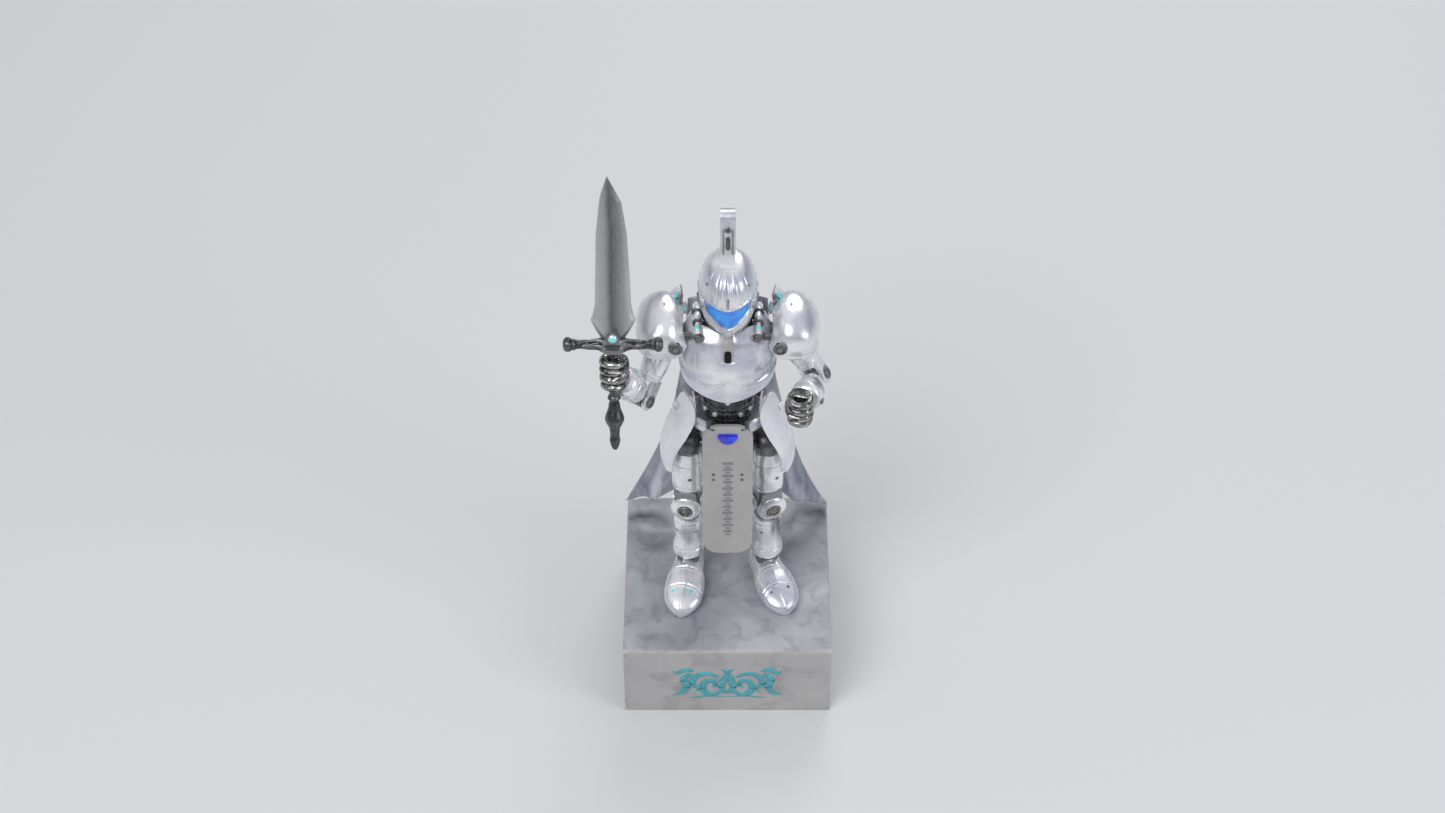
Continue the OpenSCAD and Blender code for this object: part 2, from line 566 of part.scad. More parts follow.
// Clenched hand round a straight grip hole; the knuckles are along the outside.
module fist(s) color("dimgray") difference() {
    in_frame(fist_pt(s), grip_side(s), grip_axis(s))
        loft([[0, 0, -6.6, 3.6, 3.2, 3], [0, 0, -5.8, 4.8, 4.2, 3], [0, 0, -3.4, 5, 4.5, 3],
              [0, 0, 0, 5.2, 4.6, 3], [0, 0, 3.4, 5, 4.5, 3], [0, 0, 5.8, 4.7, 4.1, 3],
              [0, 0, 6.6, 3.4, 3, 3]], 20);
    in_frame(fist_pt(s), [1, 0, 0], grip_axis(s)) cylinder(r = grip_r + fit, h = 40, center = true);
    translate(elbow_pt(s)) sphere(r = norm(fist_pt(s) - elbow_pt(s)) - 5.5);
    in_frame(elbow_pt(s), bend_axis(s), fist_pt(s) - elbow_pt(s))
        cylinder(r = 1.5 + fit, h = norm(fist_pt(s) - elbow_pt(s)) - 3.6);
}
function grip_axis(s) = s < 0 ? [0, sin(sword_lean), cos(sword_lean)] : [0, 0, 1];
function grip_side(s) = let (f = fist_pt(s) - elbow_pt(s)) unit([-f[1], f[0], 0]);

// ---- Sword: the frame's origin is at the middle of the crossguard ----
module sword_frame() in_frame(fist_pt_right, [1, 0, 0], grip_axis(-1))
    translate([0, 0, guard_rise]) children();

module sword_blade() color("gray") sword_frame() difference() {
    intersection() {
        rotate([90, 0, 0]) linear_extrude(10, center = true)
            polygon([[-3.4, 1.8], [-5.4, 5], [-7.3, 9], [-5.7, 14.6], [-4.9, blade_l * 0.66],
                     [-3.4, blade_l - 7.5], [-1, blade_l], [3.6, blade_l - 9], [5.2, blade_l * 0.66],
                     [6.2, 14.6], [7.6, 9], [5.6, 5], [3.4, 1.8]]);
        loft([[0, 0, 1.8, 8.6, 1.5, 1.25], [0, 0, 40, 8, 1.3, 1.25], [0, 0, blade_l + 1, 6, 0.9, 1.25]], 16);
    }
    for (m = [-1, 1]) translate([0, m * 1.9, 12]) rotate([m * -0.4, 0, 0])
        translate([-0.8, -0.8, 0]) cube([1.6, 1.6, blade_l * 0.45]);
}

module sword_guard() color("dimgray") sword_frame() difference() {
    union() {
        rotate([0, 90, 0]) translate([0, 0, -guard_half]) rotate_extrude() polygon(concat([[0, 0]],
            [for (k = [0:16]) let (t = k / 8 - 1, middle = 1.1 * pow(1 - abs(t), 2))
                [1.3 + 0.5 * cos(1080 * t) * abs(t) + middle + (abs(t) > 0.86 ? 0.7 : 0),
                 guard_half * (t + 1)]], [[0, 2 * guard_half]]));
        translate([0, 0, -2.4]) cylinder(r = 2.6, h = 4.6);
        along_y(2.4, -3.1, 3.1);
    }
    translate([0, 0, -5]) cylinder(r = grip_r, h = 4);
}

// Grip through the fist, with the bulb pommel and its spike below.
module sword_grip() color("dimgray") sword_frame() {
    translate([0, 0, -19]) cylinder(r = grip_r, h = 18);
    translate([0, 0, -19]) rotate_extrude()
        polygon([[0, 0.4], [1.7, 0.4], [2, -0.6], [1.6, -1.4], [1.9, -3.2], [2.2, -5], [3.1, -7.6],
                 [3.2, -9], [2.6, -10.6], [1.9, -12], [1.6, -15], [1.8, -17], [1.3, -19], [0, -20.6]]);
}

// ---- Legs: each piece hangs from the joint at the origin of its frame ----
module thigh(side) color("silver") leg_frame(side, hip_z) difference() {
    union() {
        intersection() { sphere(r = 5.6); cube([9.4, 20, 20], center = true); }
        loft([[0, 0, -22.6, 5, 4.7, 2.3], [0, 0, -20.6, 5.5, 5.3, 2.3], [0, 0, -12, 5.7, 5.7, 2.2],
              [0, 0, -6, 5.2, 5.4, 2.2], [0, 0, -3, 4.2, 4.6, 2.2]]);
        for (m = [0, 1]) mirror([m, 0, 0]) {
            translate([0, 0, -leg_link]) along_x(4, 2.5, 4.6);
            block([2.5, -3.4, -leg_link], [4.6, 3.4, -20]);
        }
    }
    along_x(hip_pin_r + fit, -20, 20);
    translate([0, 0, -leg_link]) along_x(1.3, -20, 20);
}

module knee_pin(side) color("dimgray") leg_frame(side, knee_z) {
    along_x(1.3, -4.6, 4.6);
    along_x(2.8, 4.6, 5.4);
    along_x(2.8, -5.4, -4.6);
}

// Round knee guard in front of the joint, carried by the thigh.
module knee_cap(side) color("silver") leg_frame(side, knee_z) difference() {
    union() {
        along_y(5.4, -6.6, -4.5);
        along_y(4.2, -7.5, -6.6);
        block([-4.4, -5.4, 2], [4.4, -3.4, 8]);
    }
    along_y(2.2, -8, -6.9);
}

module shin(side) color("silver") leg_frame(side, knee_z) difference() {
    union() {
        along_x(3.7, -2.3, 2.3);
        block([-2.3, -3, -8], [2.3, 3, 0]);
        loft([[0, 0, -leg_link + 3.8, 5.7, 5.9, 2.4], [0, 0, -leg_link + 6.6, 5.6, 5.8, 2.3],
              [0, 0, -18, 4.9, 5.2, 2.3], [0, 0, -11, 5.2, 5.2, 2.3], [0, 0, -7.2, 4.5, 4.5, 2.3]]);
        for (m = [0, 1]) mirror([m, 0, 0]) {
            translate([0, 0, -leg_link]) along_x(3, 2.2, 3.8);
            block([2.2, -2.2, -leg_link], [3.8, 2.2, -24]);
        }
        translate([0, 0, -leg_link]) along_x(1.2, -3.8, 3.8);
    }
    along_x(1.3 + fit, -20, 20);
}

module foot(side) color("silver") leg_frame(side, base_h) difference() {
    union() {
        foot_form();
        translate([0, 0, ankle_h]) along_x(2.8, -2, 2);
        block([-2, -2.2, 4], [2, 2.2, ankle_h]);
    }
    translate([0, 0, ankle_h]) along_x(1.2 + fit, -20, 20);
    translate([0, 0, ankle_h]) for (m = [0, 1]) mirror([m, 0, 0]) along_x(3.4, 2, 10);
    translate([0, -4, -1]) cylinder(r = peg_r + fit, h = 5.4);
}

// Pointed sabaton, lofted from heel to toe along Y.
module foot_form() rotate([90, 0, 0])
    loft([[0, 2.8, -8, 3, 2.8, 2.4], [0, 3.8, -7, 4.6, 3.8, 2.6], [0, 4.5, -3, 5.4, 4.5, 2.6],
          [0, 4.4, 2, 5.8, 4.4, 2.5], [0, 4, 7, 6.4, 4, 2.4], [0, 3.5, 12, 6.5, 3.5, 2.3],
          [0, 2.8, 17, 5.4, 2.8, 2.3], [0, 2, 21, 3.4, 2, 2.2], [0, 1.2, 23.6, 1, 1.2, 2]], 20);

module tasset_right() tasset(-1);
module tasset_left() tasset(1);
module pauldron_right() pauldron(-1);
module pauldron_left() pauldron(1);
module shoulder_fin_right() fin_plate(-1);
module shoulder_fin_left() fin_plate(1);
module shoulder_hub_right() shoulder_hub(-1);
module shoulder_hub_left() shoulder_hub(1);
module upper_arm_right() upper_arm(-1);
module upper_arm_left() upper_arm(1);
module elbow_pin_right() elbow_pin(-1);
module elbow_pin_left() elbow_pin(1);
module forearm_right() forearm(-1);
module forearm_left() forearm(1);
module fist_right() fist(-1);
module fist_left() fist(1);
module thigh_right() thigh(-1);
module thigh_left() thigh(1);
module knee_pin_right() knee_pin(-1);
module knee_pin_left() knee_pin(1);
module knee_cap_right() knee_cap(-1);
module knee_cap_left() knee_cap(1);
module shin_right() shin(-1);
module shin_left() shin(1);
module foot_right() foot(-1);
module foot_left() foot(1);

base_block();
base_cover();
base_screws();
foot_pegs();
base_emblem();
pelvis_core();
hip_pins();
belt_plate();
tasset_pins();
tabard_pin();
tabard_plate();
tabard_gem();
tabard_studs();
tasset_right();
tasset_left();
abdomen_bowl();
torso_core();
breast_plate();
belly_plate();
chest_stripe();
back_plate();
collar_ring();
cape();
cape_studs();
neck_link();
helmet();
eye_lens();
jaw_plate();
temple_rivets();
brow_plate();
crest();
pauldron_right();
pauldron_left();
pauldron_bolts();
shoulder_fin_right();
shoulder_fin_left();
shoulder_hub_right();
shoulder_hub_left();
upper_arm_right();
upper_arm_left();
elbow_pin_right();
elbow_pin_left();
forearm_right();
forearm_left();
fist_right();
fist_left();
sword_blade();
sword_guard();
sword_grip();
thigh_right();
thigh_left();
knee_pin_right();
knee_pin_left();
knee_cap_right();
knee_cap_left();
shin_right();
shin_left();
foot_right();
foot_left();
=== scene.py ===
import json
import math

import bmesh
import bpy
from mathutils import Matrix, Vector, noise


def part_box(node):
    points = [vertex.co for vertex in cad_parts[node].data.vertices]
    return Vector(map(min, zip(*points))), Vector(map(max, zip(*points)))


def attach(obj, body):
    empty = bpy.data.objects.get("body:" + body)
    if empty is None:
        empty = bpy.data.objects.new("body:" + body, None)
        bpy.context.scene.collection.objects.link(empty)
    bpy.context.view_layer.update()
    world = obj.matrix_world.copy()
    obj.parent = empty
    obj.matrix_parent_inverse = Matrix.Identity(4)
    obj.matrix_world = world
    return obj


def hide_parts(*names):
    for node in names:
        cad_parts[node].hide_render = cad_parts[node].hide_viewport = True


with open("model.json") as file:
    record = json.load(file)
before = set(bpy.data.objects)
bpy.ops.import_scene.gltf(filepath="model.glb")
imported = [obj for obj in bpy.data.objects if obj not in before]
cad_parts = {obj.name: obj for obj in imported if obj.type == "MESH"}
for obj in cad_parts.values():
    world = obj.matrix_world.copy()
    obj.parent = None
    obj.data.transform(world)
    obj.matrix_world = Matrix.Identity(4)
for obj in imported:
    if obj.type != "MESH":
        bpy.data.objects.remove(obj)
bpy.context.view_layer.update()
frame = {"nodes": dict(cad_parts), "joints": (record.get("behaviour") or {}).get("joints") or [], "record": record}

MM = 0.001
UP = Vector((0, 0, 1))
AHEAD = Vector((0, -1, 0))
joints = {j["name"]: j for j in frame["joints"]}


def joint_at(name):
    """A joint's centre in millimetres."""
    return Vector(joints[name]["pos_m"]) / MM


def node_box(node):
    """A node's lowest and highest corners in millimetres."""
    low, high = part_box(node)
    return Vector(low) / MM, Vector(high) / MM


# Heights and joint centres that everything else is placed from
HIP = joint_at("leg_left_raise").z
WAIST = joint_at("waist_lean").z
SHOULDER = joint_at("shoulder_left_swing").z
TEMPLE = joint_at("visor_raise").z
SIDES = {"right": -1, "left": 1}


# ---- Camera, light and floor ----
def look_at(place, target):
    return (Vector(target) - Vector(place)).to_track_quat("-Z", "Y").to_euler()


def make_camera():
    """Looks down at the middle of the figure from straight ahead."""
    target = Vector((-0.0018, 0, 0.1222))
    distance, elevation, field_of_view = 0.942, math.radians(45.4), math.radians(30)
    data = bpy.data.cameras.new("camera")
    data.sensor_width = 36
    data.lens = data.sensor_width / 2 / math.tan(field_of_view / 2)
    data.clip_start, data.clip_end = 0.01, 20
    camera = bpy.data.objects.new("camera", data)
    camera.location = target + distance * Vector((0, -math.cos(elevation), math.sin(elevation)))
    camera.rotation_euler = look_at(camera.location, target)
    bpy.context.collection.objects.link(camera)
    bpy.context.scene.camera = camera


def area_light(name, place, size, power, colour=(1, 1, 1)):
    """A round lamp, size metres across, aimed at the middle of the figure."""
    data = bpy.data.lights.new(name, "AREA")
    data.shape, data.size, data.energy, data.color = "DISK", size, power, colour
    light = bpy.data.objects.new(name, data)
    light.location = place
    light.rotation_euler = look_at(place, (0, 0, 0.12))
    bpy.context.collection.objects.link(light)


def fill_ramp(node, stops):
    """Gives a colour ramp node its stops (position, (r, g, b))."""
    elements = node.color_ramp.elements
    while len(elements) < len(stops):
        elements.new(0.5)
    for element, (at, colour) in zip(elements, stops):
        element.position = at
        element.color = (*colour, 1)


def grey(value):
    return (value, value, value)


def make_studio():
    """Soft light above a pale horizon, with a dark band between them for polished parts to reflect."""
    scene = bpy.context.scene
    scene.view_settings.view_transform = "Standard"
    world = bpy.data.worlds.new("studio")
    world.use_nodes = True
    tree = world.node_tree
    place = tree.nodes.new("ShaderNodeTexCoord")
    split = tree.nodes.new("ShaderNodeSeparateXYZ")
    ramp = tree.nodes.new("ShaderNodeValToRGB")
    keys = ((0.0, 0.7), (0.1, 0.62), (0.17, 0.12), (0.34, 0.16), (0.62, 0.92), (1.0, 1.0))
    fill_ramp(ramp, [(at, (shade * 0.98, shade, shade * 1.06)) for at, shade in keys])
    tree.links.new(place.outputs["Generated"], split.inputs["Vector"])
    tree.links.new(split.outputs["Z"], ramp.inputs["Fac"])
    tree.links.new(ramp.outputs["Color"], tree.nodes["Background"].inputs["Color"])
    tree.nodes["Background"].inputs["Strength"].default_value = 0.62
    scene.world = world
    area_light("key", (-0.5, -0.7, 1.1), 0.8, 7.2)
    area_light("fill", (0.9, -0.5, 0.6), 0.6, 3, (0.94, 0.97, 1))
    area_light("rim", (0.2, 0.9, 0.8), 0.6, 3.2)


def make_floor():
    """Matt grey card, 2 * size metres across."""
    size, shade, roughness = 4, 0.69, 0.9
    mesh = bpy.data.meshes.new("floor")
    mesh.from_pydata([(-size, -size, 0), (size, -size, 0), (size, size, 0), (-size, size, 0)], [],
                     [(0, 1, 2, 3)])
    floor = bpy.data.objects.new("floor", mesh)
    bpy.context.collection.objects.link(floor)
    plain = bpy.data.materials.new("floor_plain")
    plain.use_nodes = True
    shader = plain.node_tree.nodes["Principled BSDF"]
    shader.inputs["Base Color"].default_value = (*grey(shade), 1)
    shader.inputs["Roughness"].default_value = roughness
    mesh.materials.append(plain)


# ---- Materials ----
class Shade:
    """A node material built on one Principled shader, with helpers for its procedural inputs.

    self.place is the piece's own position in millimetres, so that pattern sizes read as 1 / mm.
    """

    def __init__(self, name, roughness=0.4, metallic=0.0, coat=0.0, sheen=0.0):
        self.material = bpy.data.materials.new(name)
        self.material.use_nodes = True
        self.tree = self.material.node_tree
        self.shader = self.tree.nodes["Principled BSDF"]
        self.shader.inputs["Roughness"].default_value = roughness
        self.shader.inputs["Metallic"].default_value = metallic
        self.shader.inputs["Coat Weight"].default_value = coat
        self.shader.inputs["Coat Roughness"].default_value = 0.12
        self.shader.inputs["Sheen Weight"].default_value = sheen
        place = self.tree.nodes.new("ShaderNodeTexCoord")
        scale = self.tree.nodes.new("ShaderNodeMapping")
        scale.inputs["Scale"].default_value = grey(1 / MM)
        self.link(place.outputs["Object"], scale.inputs["Vector"])
        self.place = scale.outputs["Vector"]

    def link(self, a, b):
        self.tree.links.new(a, b)

    def across_box(self):
        """X, Y and Z outputs that each run from 0 to 1 across the piece's bounding box."""
        place = self.tree.nodes.new("ShaderNodeTexCoord")
        split = self.tree.nodes.new("ShaderNodeSeparateXYZ")
        self.link(place.outputs["Generated"], split.inputs["Vector"])
        return split.outputs

    def cape_shadow_patches(self):
        """Mask of two soft patches near the rear corners of the piece's top, where the cape's shadows are painted.
        """
        box = self.across_box()
        haze = self.noise(0.05, 3)
        back = self.ramp(self.mix(0.2, box["Y"], haze), [(0.72, grey(0)), (0.78, grey(1)), (0.84, grey(0.3))])
        side = self.ramp(self.mix(0.1, box["X"], haze),
                         [(0.03, grey(0.4)), (0.1, grey(1)), (0.23, grey(0.6)), (0.3, grey(0)),
                          (0.72, grey(0)), (0.79, grey(0.6)), (0.9, grey(1)), (0.97, grey(0.4))])
        return self.mix(1.0, back, side, "MULTIPLY")

    def stretched(self, x, y, z):
        """The position scaled along each axis: below 1, patterns grow longer that way."""
        node = self.tree.nodes.new("ShaderNodeMapping")
        node.inputs["Scale"].default_value = (x, y, z)
        self.link(self.place, node.inputs["Vector"])
        return node.outputs["Vector"]

    def noise(self, per_mm, detail=4, rough=0.55, vector=None, distortion=0.0):
        node = self.tree.nodes.new("ShaderNodeTexNoise")
        node.inputs["Scale"].default_value = per_mm
        node.inputs["Detail"].default_value = detail
        node.inputs["Roughness"].default_value = rough
        node.inputs["Distortion"].default_value = distortion
        self.link(vector or self.place, node.inputs["Vector"])
        return node.outputs["Fac"]

    def ramp(self, fac, stops):
        node = self.tree.nodes.new("ShaderNodeValToRGB")
        fill_ramp(node, stops)
        self.link(fac, node.inputs["Fac"])
        return node.outputs["Color"]

    def span(self, fac, low, high, from_low=0.3, from_high=0.7):
        """Maps fac linearly, clamped, from the usual reach of a noise to low..high."""
        node = self.tree.nodes.new("ShaderNodeMapRange")
        for name, value in (("From Min", from_low), ("From Max", from_high), ("To Min", low),
                            ("To Max", high)):
            node.inputs[name].default_value = value
        self.link(fac, node.inputs["Value"])
        return node.outputs["Result"]

    def mix(self, fac, a, b, blend="MIX"):
        node = self.tree.nodes.new("ShaderNodeMix")
        node.data_type, node.blend_type = "RGBA", blend
        for socket, value in ((node.inputs[0], fac), (node.inputs[6], a), (node.inputs[7], b)):
            if isinstance(value, (int, float)):
                socket.default_value = value
            elif isinstance(value, tuple):
                socket.default_value = (*value, 1)
            else:
                self.link(value, socket)
        return node.outputs[2]

    def edges(self, low, high):
        """Mask of convex edges; the reverse, when it is used as one, marks creases."""
        node = self.tree.nodes.new("ShaderNodeNewGeometry")
        return self.span(node.outputs["Pointiness"], 0, 1, low, high)

    def colour(self, socket):
        self.link(socket, self.shader.inputs["Base Color"])

    def roughness(self, socket):
        self.link(socket, self.shader.inputs["Roughness"])

    def bump(self, height, strength=0.3, depth=0.0002):
        node = self.tree.nodes.new("ShaderNodeBump")
        node.inputs["Strength"].default_value = strength
        node.inputs["Distance"].default_value = depth
        self.link(height, node.inputs["Height"])
        self.link(node.outputs["Normal"], self.shader.inputs["Normal"])


def metal_paint(name, light, dark, metallic=0.5, rough=(0.2, 0.32), blotch=0.07, edge_highlight=0.5):
    """Silver or pearl paint over moulded plastic: soft clouds whose darker bluish tone is painted shade, faint
    handling marks, and convex edges painted lighter as highlights.
    """
    s = Shade(name, metallic=metallic, coat=0.5)
    # Soft clouds from light to a darker blue-grey: the darker tone is painted shade.
    body = s.ramp(s.noise(blotch, 3, distortion=0.4), [(0.34, dark), (0.6, light)])
    marks = s.ramp(s.noise(blotch * 3, 5, 0.5, s.stretched(1, 1, 0.4), 0.6), [(0.3, dark), (0.46, (1, 1, 1))])
    body = s.mix(0.22, body, marks, "MULTIPLY")
    # Convex edges painted lighter: painted highlights.
    s.colour(s.mix(s.edges(0.6, 0.78), body, tuple(min(1, c * (1 + edge_highlight * 0.2)) for c in light)))
    s.roughness(s.span(s.noise(0.3, 5), *rough))
    s.bump(s.noise(0.25, 2), 0.04, 0.00006)
    return s.material


def limb_chrome_painted_reflections(name, light, mid, dark):
    """Vacuum-plated limb: long smooth bright and dark streaks, as its reflections are painted in, and convex edges
    painted light as highlights.
    """
    s = Shade(name, metallic=0.5, coat=0.5)
    painted_reflection_flow = s.noise(0.13, 2, 0.4, s.stretched(1, 1, 0.3), 0.6)
    # Bright and dark streaks: painted reflections.
    body = s.ramp(painted_reflection_flow, [(0.28, dark), (0.36, mid), (0.46, light), (0.66, light), (0.76, mid)])
    nicks = s.ramp(s.noise(0.9, 7, 0.65), [(0.3, (0.45, 0.45, 0.46)), (0.38, (1, 1, 1))])
    # Convex edges painted light: painted highlights.
    s.colour(s.mix(s.edges(0.6, 0.78), s.mix(0.14, body, nicks, "MULTIPLY"), light))
    s.roughness(s.span(s.noise(0.4, 4), 0.2, 0.34))
    s.bump(s.noise(0.22, 2), 0.05, 0.00006)
    return s.material


def dark_metal(name, dark=(0.018, 0.018, 0.02), light=(0.16, 0.16, 0.17), blotch=0.5):
    """Gunmetal joint parts, their convex edges painted lighter as highlights."""
    s = Shade(name, metallic=0.8, coat=0.2)
    body = s.ramp(s.noise(blotch, 6, distortion=1.2), [(0.35, dark), (0.7, light)])
    # Convex edges painted lighter: painted highlights.
    s.colour(s.mix(s.edges(0.51, 0.6), body, (0.42, 0.42, 0.43)))
    s.roughness(s.span(s.noise(0.9, 6), 0.2, 0.46))
    s.bump(s.noise(1.6, 6), 0.3, 0.00015)
    return s.material


def fist_painted_reflections_and_crease_shade(name):
    """Vacuum-plated fist: bright and dark patches painted in as reflections, with painted shade near-black in its
    creases.
    """
    s = Shade(name, metallic=0.95, coat=0.2)
    patches = s.noise(0.4, 6, 0.6, s.stretched(0.6, 0.6, 1.5), 1.2)
    # Bright and dark patches: painted reflections.
    body = s.ramp(patches, [(0.34, (0.03, 0.03, 0.028)), (0.45, (0.3, 0.29, 0.28)),
                            (0.58, (0.78, 0.77, 0.76))])
    # Creases painted near-black: painted shade.
    s.colour(s.mix(s.edges(0.47, 0.54), (0.02, 0.02, 0.02), body))
    s.roughness(s.span(patches, 0.34, 0.16))
    s.bump(s.noise(1.2, 6), 0.35, 0.0002)
    return s.material


def plain_plate(name, light, dark, rough=0.42):
    """Flat grey plate, with fine scratches along its length and a few scuffs."""
    s = Shade(name, metallic=0.25)
    scratches = s.noise(0.9, 5, vector=s.stretched(3.5, 1, 0.12))
    body = s.ramp(s.noise(0.1, 4), [(0.3, dark), (0.7, light)])
    s.colour(s.mix(0.35, body, s.ramp(scratches, [(0.35, dark), (0.6, light)])))
    s.roughness(s.span(scratches, rough - 0.08, rough + 0.12))
    s.bump(scratches, 0.12, 0.00006)
    return s.material


def clear_blue(name, deep, bright, glow):
    """Blue lens or gem in soft patches of deep and brighter blue, under a clear coat, with a faint emission that
    paints a glow on it.
    """
    s = Shade(name, roughness=0.12, coat=1.0)
    # Emission paints a faint glow on the lens or gem; it is no lamp.
    s.shader.inputs["Emission Strength"].default_value = glow
    s.shader.inputs["Emission Color"].default_value = (*bright, 1)
    s.colour(s.ramp(s.noise(0.3, 4, distortion=0.8), [(0.34, deep), (0.62, bright)]))
    s.roughness(s.span(s.noise(0.8, 3), 0.06, 0.16))
    s.bump(s.noise(0.5, 3), 0.08, 0.0001)
    return s.material


def cape_cloth(name):
    """Lilac-grey cloth: plain weave, long light and dark streaks painted in as fold highlights and fold shade, and
    a little sheen.
    """
    s = Shade(name, roughness=0.85, sheen=0.3)
    s.shader.inputs["Sheen Roughness"].default_value = 0.5
    warp = s.noise(5.5, 2, vector=s.stretched(1, 0.3, 0.08))
    weft = s.noise(5.5, 2, vector=s.stretched(0.08, 0.3, 1))
    weave = s.mix(0.5, warp, weft)
    # Long streaks from dark to pale lilac: painted shade in the folds and painted highlights on them.
    fade = s.ramp(s.noise(0.2, 5, distortion=0.6, vector=s.stretched(1, 0.6, 0.12)),
                  [(0.32, (0.26, 0.265, 0.35)), (0.48, (0.42, 0.425, 0.52)), (0.66, (0.72, 0.72, 0.79))])
    s.colour(s.mix(0.5, fade, s.ramp(weave, [(0.32, (0.6, 0.6, 0.62)), (0.6, (1, 1, 1))]), "MULTIPLY"))
    s.roughness(s.span(weave, 0.78, 0.95))
    s.bump(weave, 0.5, 0.00025)
    return s.material


def painted_stone(name, light, dark, patch=0.03, corners=False):
    """Base moulding painted as mottled grey stone: soft clouds, dark smudges and fine grit, with convex edges
    painted lighter as highlights and, when corners is set, painted cape shadows at the rear corners of the top.
    """
    s = Shade(name, roughness=0.6)
    clouds = s.noise(patch, 5, 0.55, distortion=0.7)
    middle = tuple((a + b) / 2 for a, b in zip(light, dark))
    body = s.ramp(clouds, [(0.33, dark), (0.47, middle), (0.62, light)])
    smudge = s.ramp(s.noise(patch * 4, 6, 0.6, distortion=0.5), [(0.36, middle), (0.5, (1, 1, 1))])
    body = s.mix(0.4, body, smudge, "MULTIPLY")
    grit = s.ramp(s.noise(1.6, 8, 0.7), [(0.3, (0.72, 0.72, 0.72)), (0.44, (1, 1, 1))])
    body = s.mix(0.5, body, grit, "MULTIPLY")
    if corners:
        # Painted shadow of the cape's lower corners: near-black patches at the rear corners of the top.
        body = s.mix(s.cape_shadow_patches(), body, (0.035, 0.035, 0.04))
    # Convex edges painted lighter: painted highlights.
    s.colour(s.mix(s.edges(0.53, 0.62), body, (0.62, 0.61, 0.6)))
    s.roughness(s.span(clouds, 0.45, 0.7))
    s.bump(s.noise(0.8, 9, 0.68), 0.3, 0.0004)
    return s.material


def brushed_blade(name):
    """Polished steel blade with a painted reflection across it: pale near both edges and a long dark band down its
    middle.
    """
    s = Shade(name, metallic=0.6)
    brushing = s.noise(2.0, 5, vector=s.stretched(2.5, 1, 0.07))
    # Painted reflection: light, dark and light again across the blade's width.
    across = s.mix(0.12, s.across_box()["X"], s.noise(0.06, 3))
    body = s.ramp(across, [(0.1, (0.62, 0.62, 0.64)), (0.36, (0.42, 0.42, 0.43)), (0.47, (0.09, 0.09, 0.095)),
                           (0.57, (0.17, 0.17, 0.175)), (0.7, (0.34, 0.335, 0.33)), (0.88, (0.6, 0.6, 0.61))])
    s.colour(s.mix(0.2, body, s.ramp(brushing, [(0.35, (0.2, 0.2, 0.205)), (0.62, (0.6, 0.6, 0.61))])))
    s.roughness(s.span(brushing, 0.28, 0.45))
    s.bump(brushing, 0.15, 0.00006)
    return s.material


def worn_teal(name):
    """Teal paint rubbed through to grey in small patches."""
    s = Shade(name, roughness=0.45)
    rub = s.noise(0.5, 8, 0.7, distortion=0.8)
    s.colour(s.ramp(rub, [(0.34, (0.3, 0.36, 0.37)), (0.46, (0.06, 0.34, 0.4)), (0.66, (0.12, 0.52, 0.58))]))
    s.roughness(s.span(rub, 0.6, 0.35))
    s.bump(rub, 0.3, 0.0002)
    return s.material


MATERIALS = {
    # The darker colour of each paint is the bluish painted shade of its clouds.
    "armour_silver": metal_paint("silver_paint", (0.88, 0.88, 0.9), (0.58, 0.6, 0.69)),
    "armour_white": metal_paint("pearl_paint", (0.9, 0.9, 0.93), (0.74, 0.74, 0.8), 0.25, (0.28, 0.42)),
    "joint_dark": dark_metal("gunmetal"),
    "fist_chrome": fist_painted_reflections_and_crease_shade("fist_painted_reflections_and_crease_shade"),
    "plate_grey": plain_plate("plate_grey", (0.5, 0.48, 0.47), (0.4, 0.39, 0.385)),
    "gem_blue": clear_blue("gem_blue", (0.0, 0.002, 0.3), (0.005, 0.03, 0.85), 0.12),
    "lens_blue": clear_blue("lens_blue", (0.01, 0.13, 0.6), (0.03, 0.3, 0.8), 0.22),
    "cape_cloth": cape_cloth("cape_cloth"),
    "base_stone": painted_stone("painted_stone", (0.5, 0.505, 0.54), (0.28, 0.285, 0.31), corners=True),
    "cover_dark": plain_plate("cover_dark", (0.05, 0.05, 0.052), (0.03, 0.03, 0.032), 0.6),
    "emblem_teal": worn_teal("worn_teal"),
    "screw_steel": metal_paint("screw_steel", (0.6, 0.6, 0.6), (0.42, 0.42, 0.42), 1.0, (0.25, 0.4), 0.4),
    "blade_steel": brushed_blade("brushed_blade"),
    "hilt_dark": dark_metal("hilt_dark", (0.03, 0.03, 0.032), (0.15, 0.15, 0.16), 0.35),
}
CHROME = limb_chrome_painted_reflections("limb_chrome_painted_reflections", (0.92, 0.92, 0.94), (0.5, 0.51, 0.54), (0.1, 0.11, 0.12))
# The base's sides take a lighter, warmer copy of the stone paint than its top: painted light on the sides.
BASE_SIDES_PAINTED_LIGHT = painted_stone("painted_stone_sides_painted_light", (0.49, 0.48, 0.475), (0.42, 0.41, 0.41), 0.02)
LENS_PAINTED_HIGHLIGHT = clear_blue("lens_painted_highlight", (0.3, 0.42, 0.75), (0.6, 0.66, 0.9), 0.1)
LENS_DEEP = clear_blue("lens_deep", (0.0, 0.03, 0.5), (0.01, 0.25, 0.8), 0.3)
BRONZE = dark_metal("knee_bronze", (0.1, 0.09, 0.08), (0.34, 0.31, 0.29), 0.35)
# Near-black: painted shade in bolt sockets, slots and recesses, and the black of the tabard's bars.
BLACK_AND_PAINTED_RECESS_SHADE = dark_metal("black_and_painted_recess_shade", (0.006, 0.006, 0.007), (0.03, 0.03, 0.03), 0.8)
# Teal pieces with a painted glow, standing in for teal glints.
TEAL_GLINT = clear_blue("teal_glint", (0.01, 0.3, 0.34), (0.08, 0.7, 0.66), 0.35)


